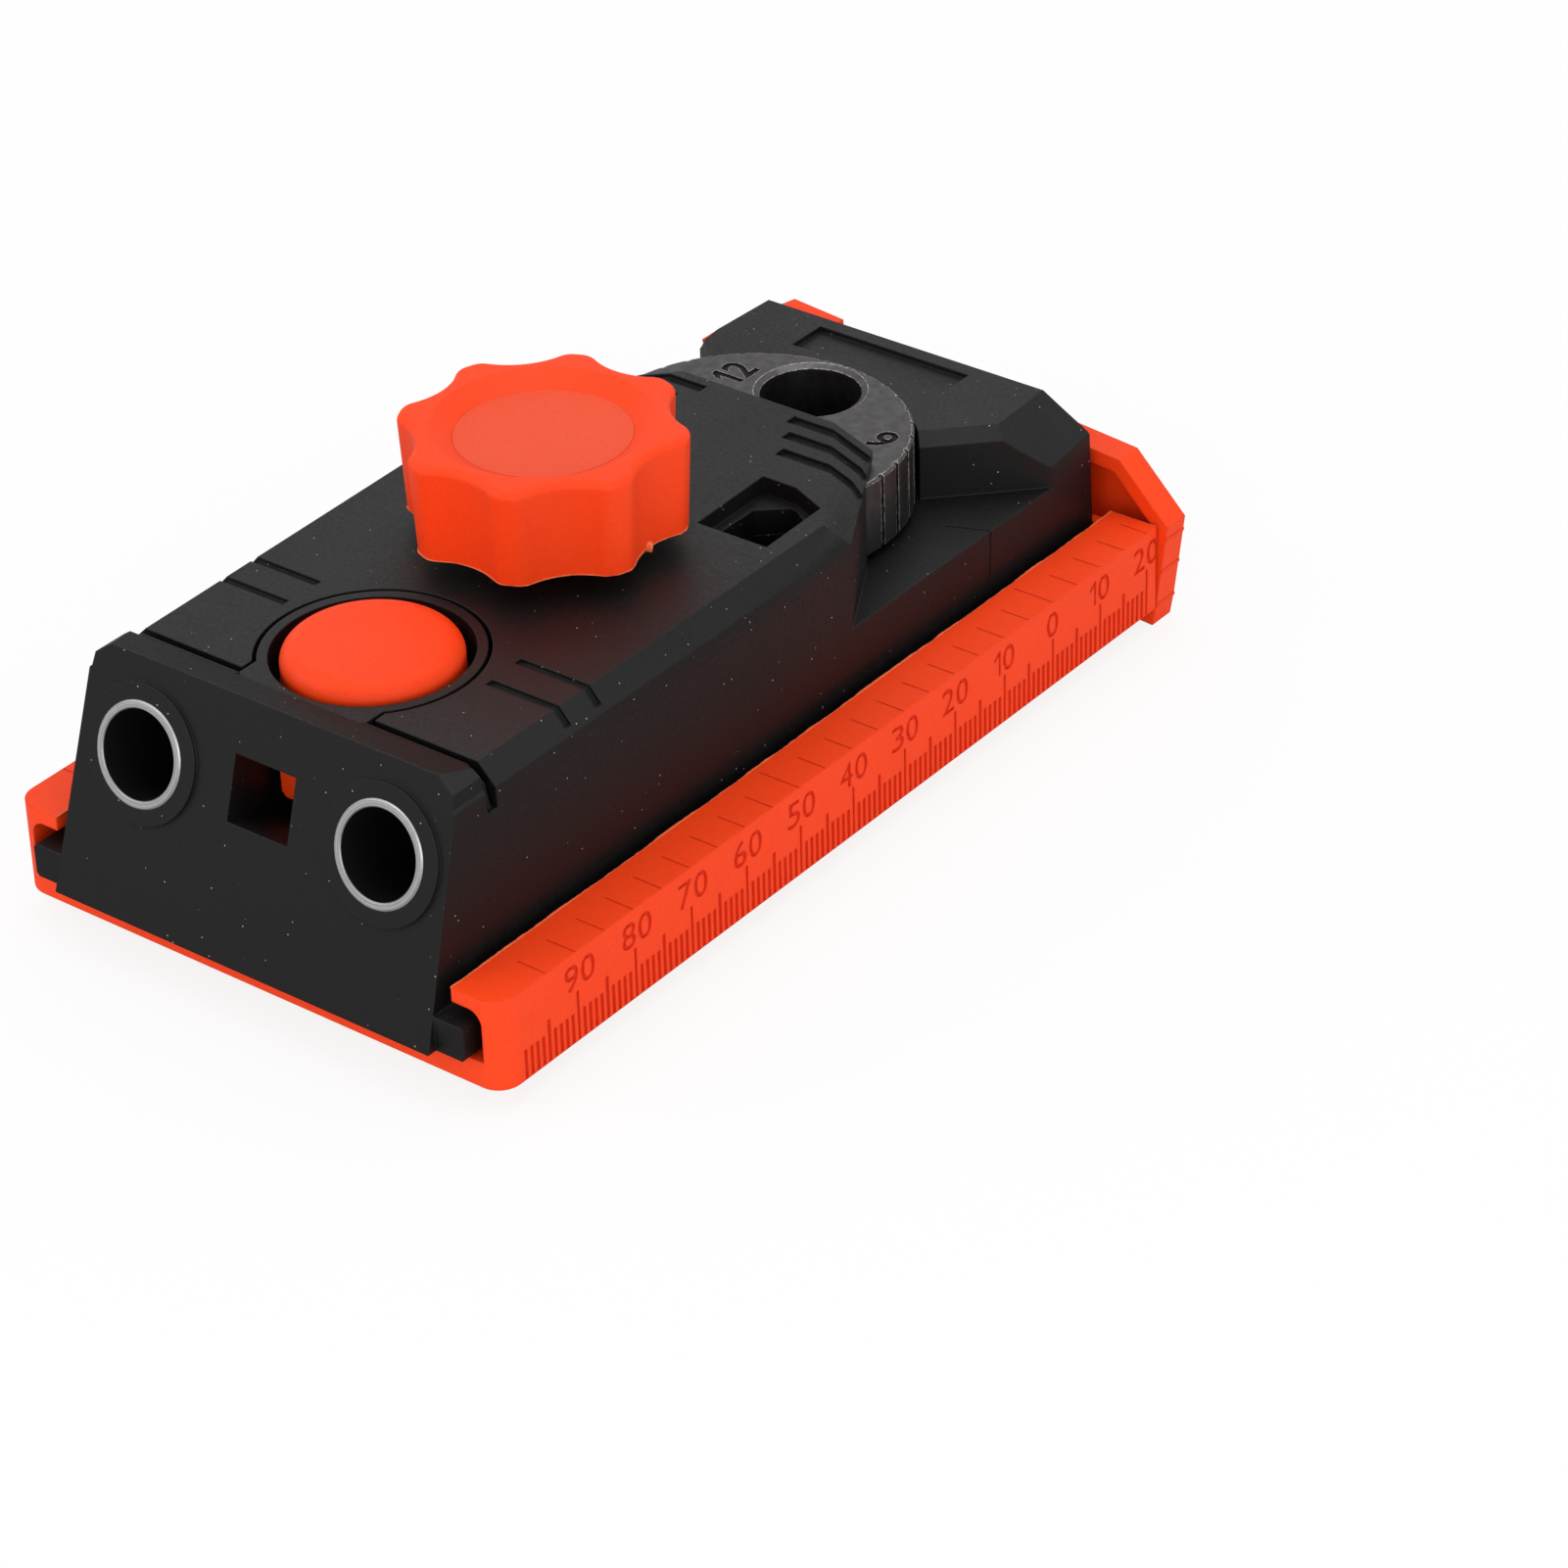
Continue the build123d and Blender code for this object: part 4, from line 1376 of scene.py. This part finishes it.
@dataclass
class Scars:
    """Worn edges, scratches and the gate mark on the black pieces, and a painted highlight on the lower lip
    of the index line.
    """

    face_edge: tuple = ((-23.4, -96.64, 33.5), (23.4, -96.64, 33.5))
    bay_foot: tuple = ((15.5, 1.55, 19.0), (23.7, 9.85, 19.0))
    scratches: tuple = ((14.0, -22.0, 33.09), (16.7, -25.2, 33.06), (18.3, -22.5, 33.08))
    # A painted highlight on the index line's lower lip.
    index_edge: tuple = ((21.8, -2.83, 19.0), (26.75, -0.82, 19.0))
    gate: tuple = ((-17.3, -88.6), (-17.28, -87.6), (-17.15, -86.8), (-16.8, -86.5), (-16.4, -86.7),
                   (-16.35, -87.1))
    gate_z: float = 32.44

    def build(self, material: Material) -> None:
        """Make all marks.

        Args:
            material: Their material.
        """
        gate = tuple((x, y, self.gate_z) for x, y in self.gate)
        for name, points, outward, height, width in (
                ("face_edge_wear", self.face_edge, (0, -0.6, 1), 0.08, 0.12),
                ("bay_foot_line", self.bay_foot, (-0.5, -0.5, 0.7), 0.08, 0.1),
                ("cover_scratch", self.scratches, (0, 0, 1), 0.02, 0.08),
                # The index ridge is a painted highlight.
                ("index_edge", self.index_edge, (0, 0, 1), 0.05, 0.09),
                ("gate_mark", gate, (0, 0, 1), 0.07, 0.22)):
            FlashLine(name, points, outward, Body.CARRIAGE, Slot.BLACK, height=height, width=width,
                      step=0.35, seed=len(name)).build(material)


@dataclass(frozen=True)
class Lamp:
    """One soft square lamp that faces the object, with its sizes in metres and its power in watts."""

    name: str
    place: tuple
    size: float
    watts: float
    target: tuple = (0.0, -0.04, -0.01)

    def build(self) -> None:
        """Hang the lamp."""
        data = bpy.data.lights.new(self.name, "AREA")
        data.size = self.size
        data.energy = self.watts
        lamp = bpy.data.objects.new(self.name, data)
        lamp.location = self.place
        aim = Vector(self.target) - Vector(self.place)
        lamp.rotation_euler = aim.to_track_quat("-Z", "Y").to_euler()
        bpy.context.scene.collection.objects.link(lamp)


@dataclass
class Studio:
    """Pale floor, soft lamps and the camera."""

    floor_z: float = -32.25 * MM
    floor_half: float = 3.0
    floor_grey: float = 0.86
    floor_roughness: float = 0.9
    floor_white: float = 0.85
    floor_dim: float = 0.65
    dim_glow: float = 0.05
    room: float = 0.72
    azimuth: float = 38.120
    elevation: float = 32.534
    roll: float = -1.651
    focal_px: float = 5401.8
    image_px: int = 1601
    sensor_mm: float = 36.0
    clip: tuple = (0.01, 20.0)
    shift_mm: tuple = (-3.919, -22.634)
    distance_mm: float = 653.92
    lamps: tuple = (
        Lamp("top", (0.0, 0.1, 0.9), 0.9, 2.8), Lamp("left", (-0.7, -0.7, 0.55), 0.7, 2.2),
        Lamp("right", (0.85, -0.35, 0.35), 0.6, 1.7), Lamp("front", (0.45, -1.0, 0.3), 0.6, 2.2),
    )

    def build(self) -> None:
        """Make the camera, the floor, the lamps and the world."""
        self.camera()
        self.floor()
        for lamp in self.lamps:
            lamp.build()
        self.world()
        bpy.context.scene.view_settings.view_transform = "Standard"
        LOG.info("studio: floor, lamps and camera")

    def camera(self) -> None:
        """Place the camera where the view is taken from."""
        a, e, r = radians(self.azimuth), radians(self.elevation), radians(self.roll)
        back = Vector((sin(a) * cos(e), -cos(a) * cos(e), sin(e)))
        flat = Vector((cos(a), sin(a), 0))
        lift = back.cross(flat)
        right = flat * cos(r) + lift * sin(r)
        up = lift * cos(r) - flat * sin(r)
        place = right * self.shift_mm[0] + up * self.shift_mm[1] + back * self.distance_mm
        place.z -= TURRET_TOP
        data = bpy.data.cameras.new("view")
        data.sensor_width = self.sensor_mm
        data.lens = self.sensor_mm * self.focal_px / self.image_px
        data.clip_start, data.clip_end = self.clip
        camera = bpy.data.objects.new("view", data)
        turn = Matrix((right, up, back)).transposed().to_4x4()
        camera.matrix_world = Matrix.Translation(place * MM) @ turn
        bpy.context.scene.collection.objects.link(camera)
        bpy.context.scene.camera = camera

    def floor(self) -> None:
        """Lay the pale floor."""
        half = self.floor_half
        corners = [(x, y, self.floor_z) for x, y in ((-half, -half), (half, -half), (half, half),
                                                     (-half, half))]
        mesh = bpy.data.meshes.new("floor")
        mesh.from_pydata(corners, [], [(0, 1, 2, 3)])
        shader = Shader("floor_white")
        shader.assign(shader.surface, Base_Color=(*[self.floor_grey] * 3, 1),
                      Roughness=self.floor_roughness, Specular_IOR_Level=0.0)
        self.whiten(shader)
        add_piece("floor", mesh, shader.material)

    def whiten(self, shader: Shader) -> None:
        """Show the floor nearly white to the camera, with a trace of its shadow, and dim in reflections.

        Args:
            shader: The floor's material.
        """
        rays = shader.add("ShaderNodeLightPath")
        below, out = shader.surface, "BSDF"
        for ray, share, glow in (("Is Glossy Ray", self.floor_dim, self.dim_glow),
                                 ("Is Camera Ray", self.floor_white, 1.0)):
            light = shader.add("ShaderNodeEmission", Strength=glow)
            mix = shader.add("ShaderNodeMixShader")
            shader.link(shader.chain(rays, ray, ("MULTIPLY", share)), 0, mix, 0)
            shader.link(below, out, mix, 1)
            shader.link(light, "Emission", mix, 2)
            below, out = mix, "Shader"
        shader.link(below, out, shader.output, "Surface")

    def world(self) -> None:
        """Light the room evenly."""
        world = bpy.data.worlds.new("room")
        world.use_nodes = True
        bpy.context.scene.world = world
        background = world.node_tree.nodes["Background"]
        background.inputs["Color"].default_value = (1, 1, 1, 1)
        background.inputs["Strength"].default_value = self.room


@dataclass
class Finishes:
    """The finished materials, made once."""

    orange: Material = field(default_factory=ORANGE.build)
    # The groove orange is painted shade in the ruler's marks.
    groove: Material = field(default_factory=ORANGE_GROOVE_SHADE.build)
    # The flash orange is a painted highlight on the thin flash edges.
    flash: Material = field(default_factory=FLASH_WITH_HIGHLIGHT.build)
    black: Material = field(default_factory=BLACK.build)
    head: Material = field(default_factory=BLACK_HEAD.build)
    inlay: Material = field(default_factory=INLAY.build)
    # Lighter grey for scars and wear, and a painted highlight on the index line.
    scar: Material = field(default_factory=SCAR_AND_HIGHLIGHT.build)
    sleeve: Material = field(default_factory=SLEEVE.build)
    ball: Material = field(default_factory=BALL.build)
    turret: Material = field(default_factory=TURRET.build)
    mark: Material = field(default_factory=MARK.build)
    wire: Material = field(default_factory=WIRE.build)
    zinc: Material = field(default_factory=ZINC.build)

    def dress_nodes(self) -> None:
        """Give every CAD node its material."""
        groups = {
            "orange": ("ruler_base", "end_stop", "release_button", "clamp_knob"),
            "inlay": ("knob_cap",),
            "black": ("carriage_housing", "top_cover"),
            "sleeve": ("left_drill_sleeve", "right_drill_sleeve"),
            "ball": ("detent_ball",),
            "turret": ("bit_turret",),
            "wire": ("button_spring", "detent_spring", "turret_washer", "shoe_clip"),
            "zinc": ("stop_screw", "stop_washer", "turret_pivot", "clamp_screw", "clamp_shoe",
                     "clamp_nut", "cover_screws"),
        }
        for finish, nodes in groups.items():
            for node in nodes:
                self.dress(node, getattr(self, finish))
                LOG.info("%s: %s", node, finish)

    def dress(self, node: str, material: Material) -> None:
        """Give a CAD node one material in all its slots.

        Args:
            node: The node's name.
            material: The material.
        """
        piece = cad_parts[node]
        if not piece.material_slots:
            piece.data.materials.append(material)
        for slot in piece.material_slots:
            slot.material = material


def main() -> None:
    """Build the scene in order."""
    finishes = Finishes()
    finishes.dress_nodes()
    RulerMarks().build(finishes.orange, finishes.groove)
    TurretMarks().build(finishes.turret, finishes.mark)
    CarriageTrim().build(finishes.black, finishes.head)
    PressedSpring().build(finishes.wire)
    Flashes().build(finishes.flash)
    Scars().build(finishes.scar)
    Studio().build()


if __name__ == "__main__":
    main()
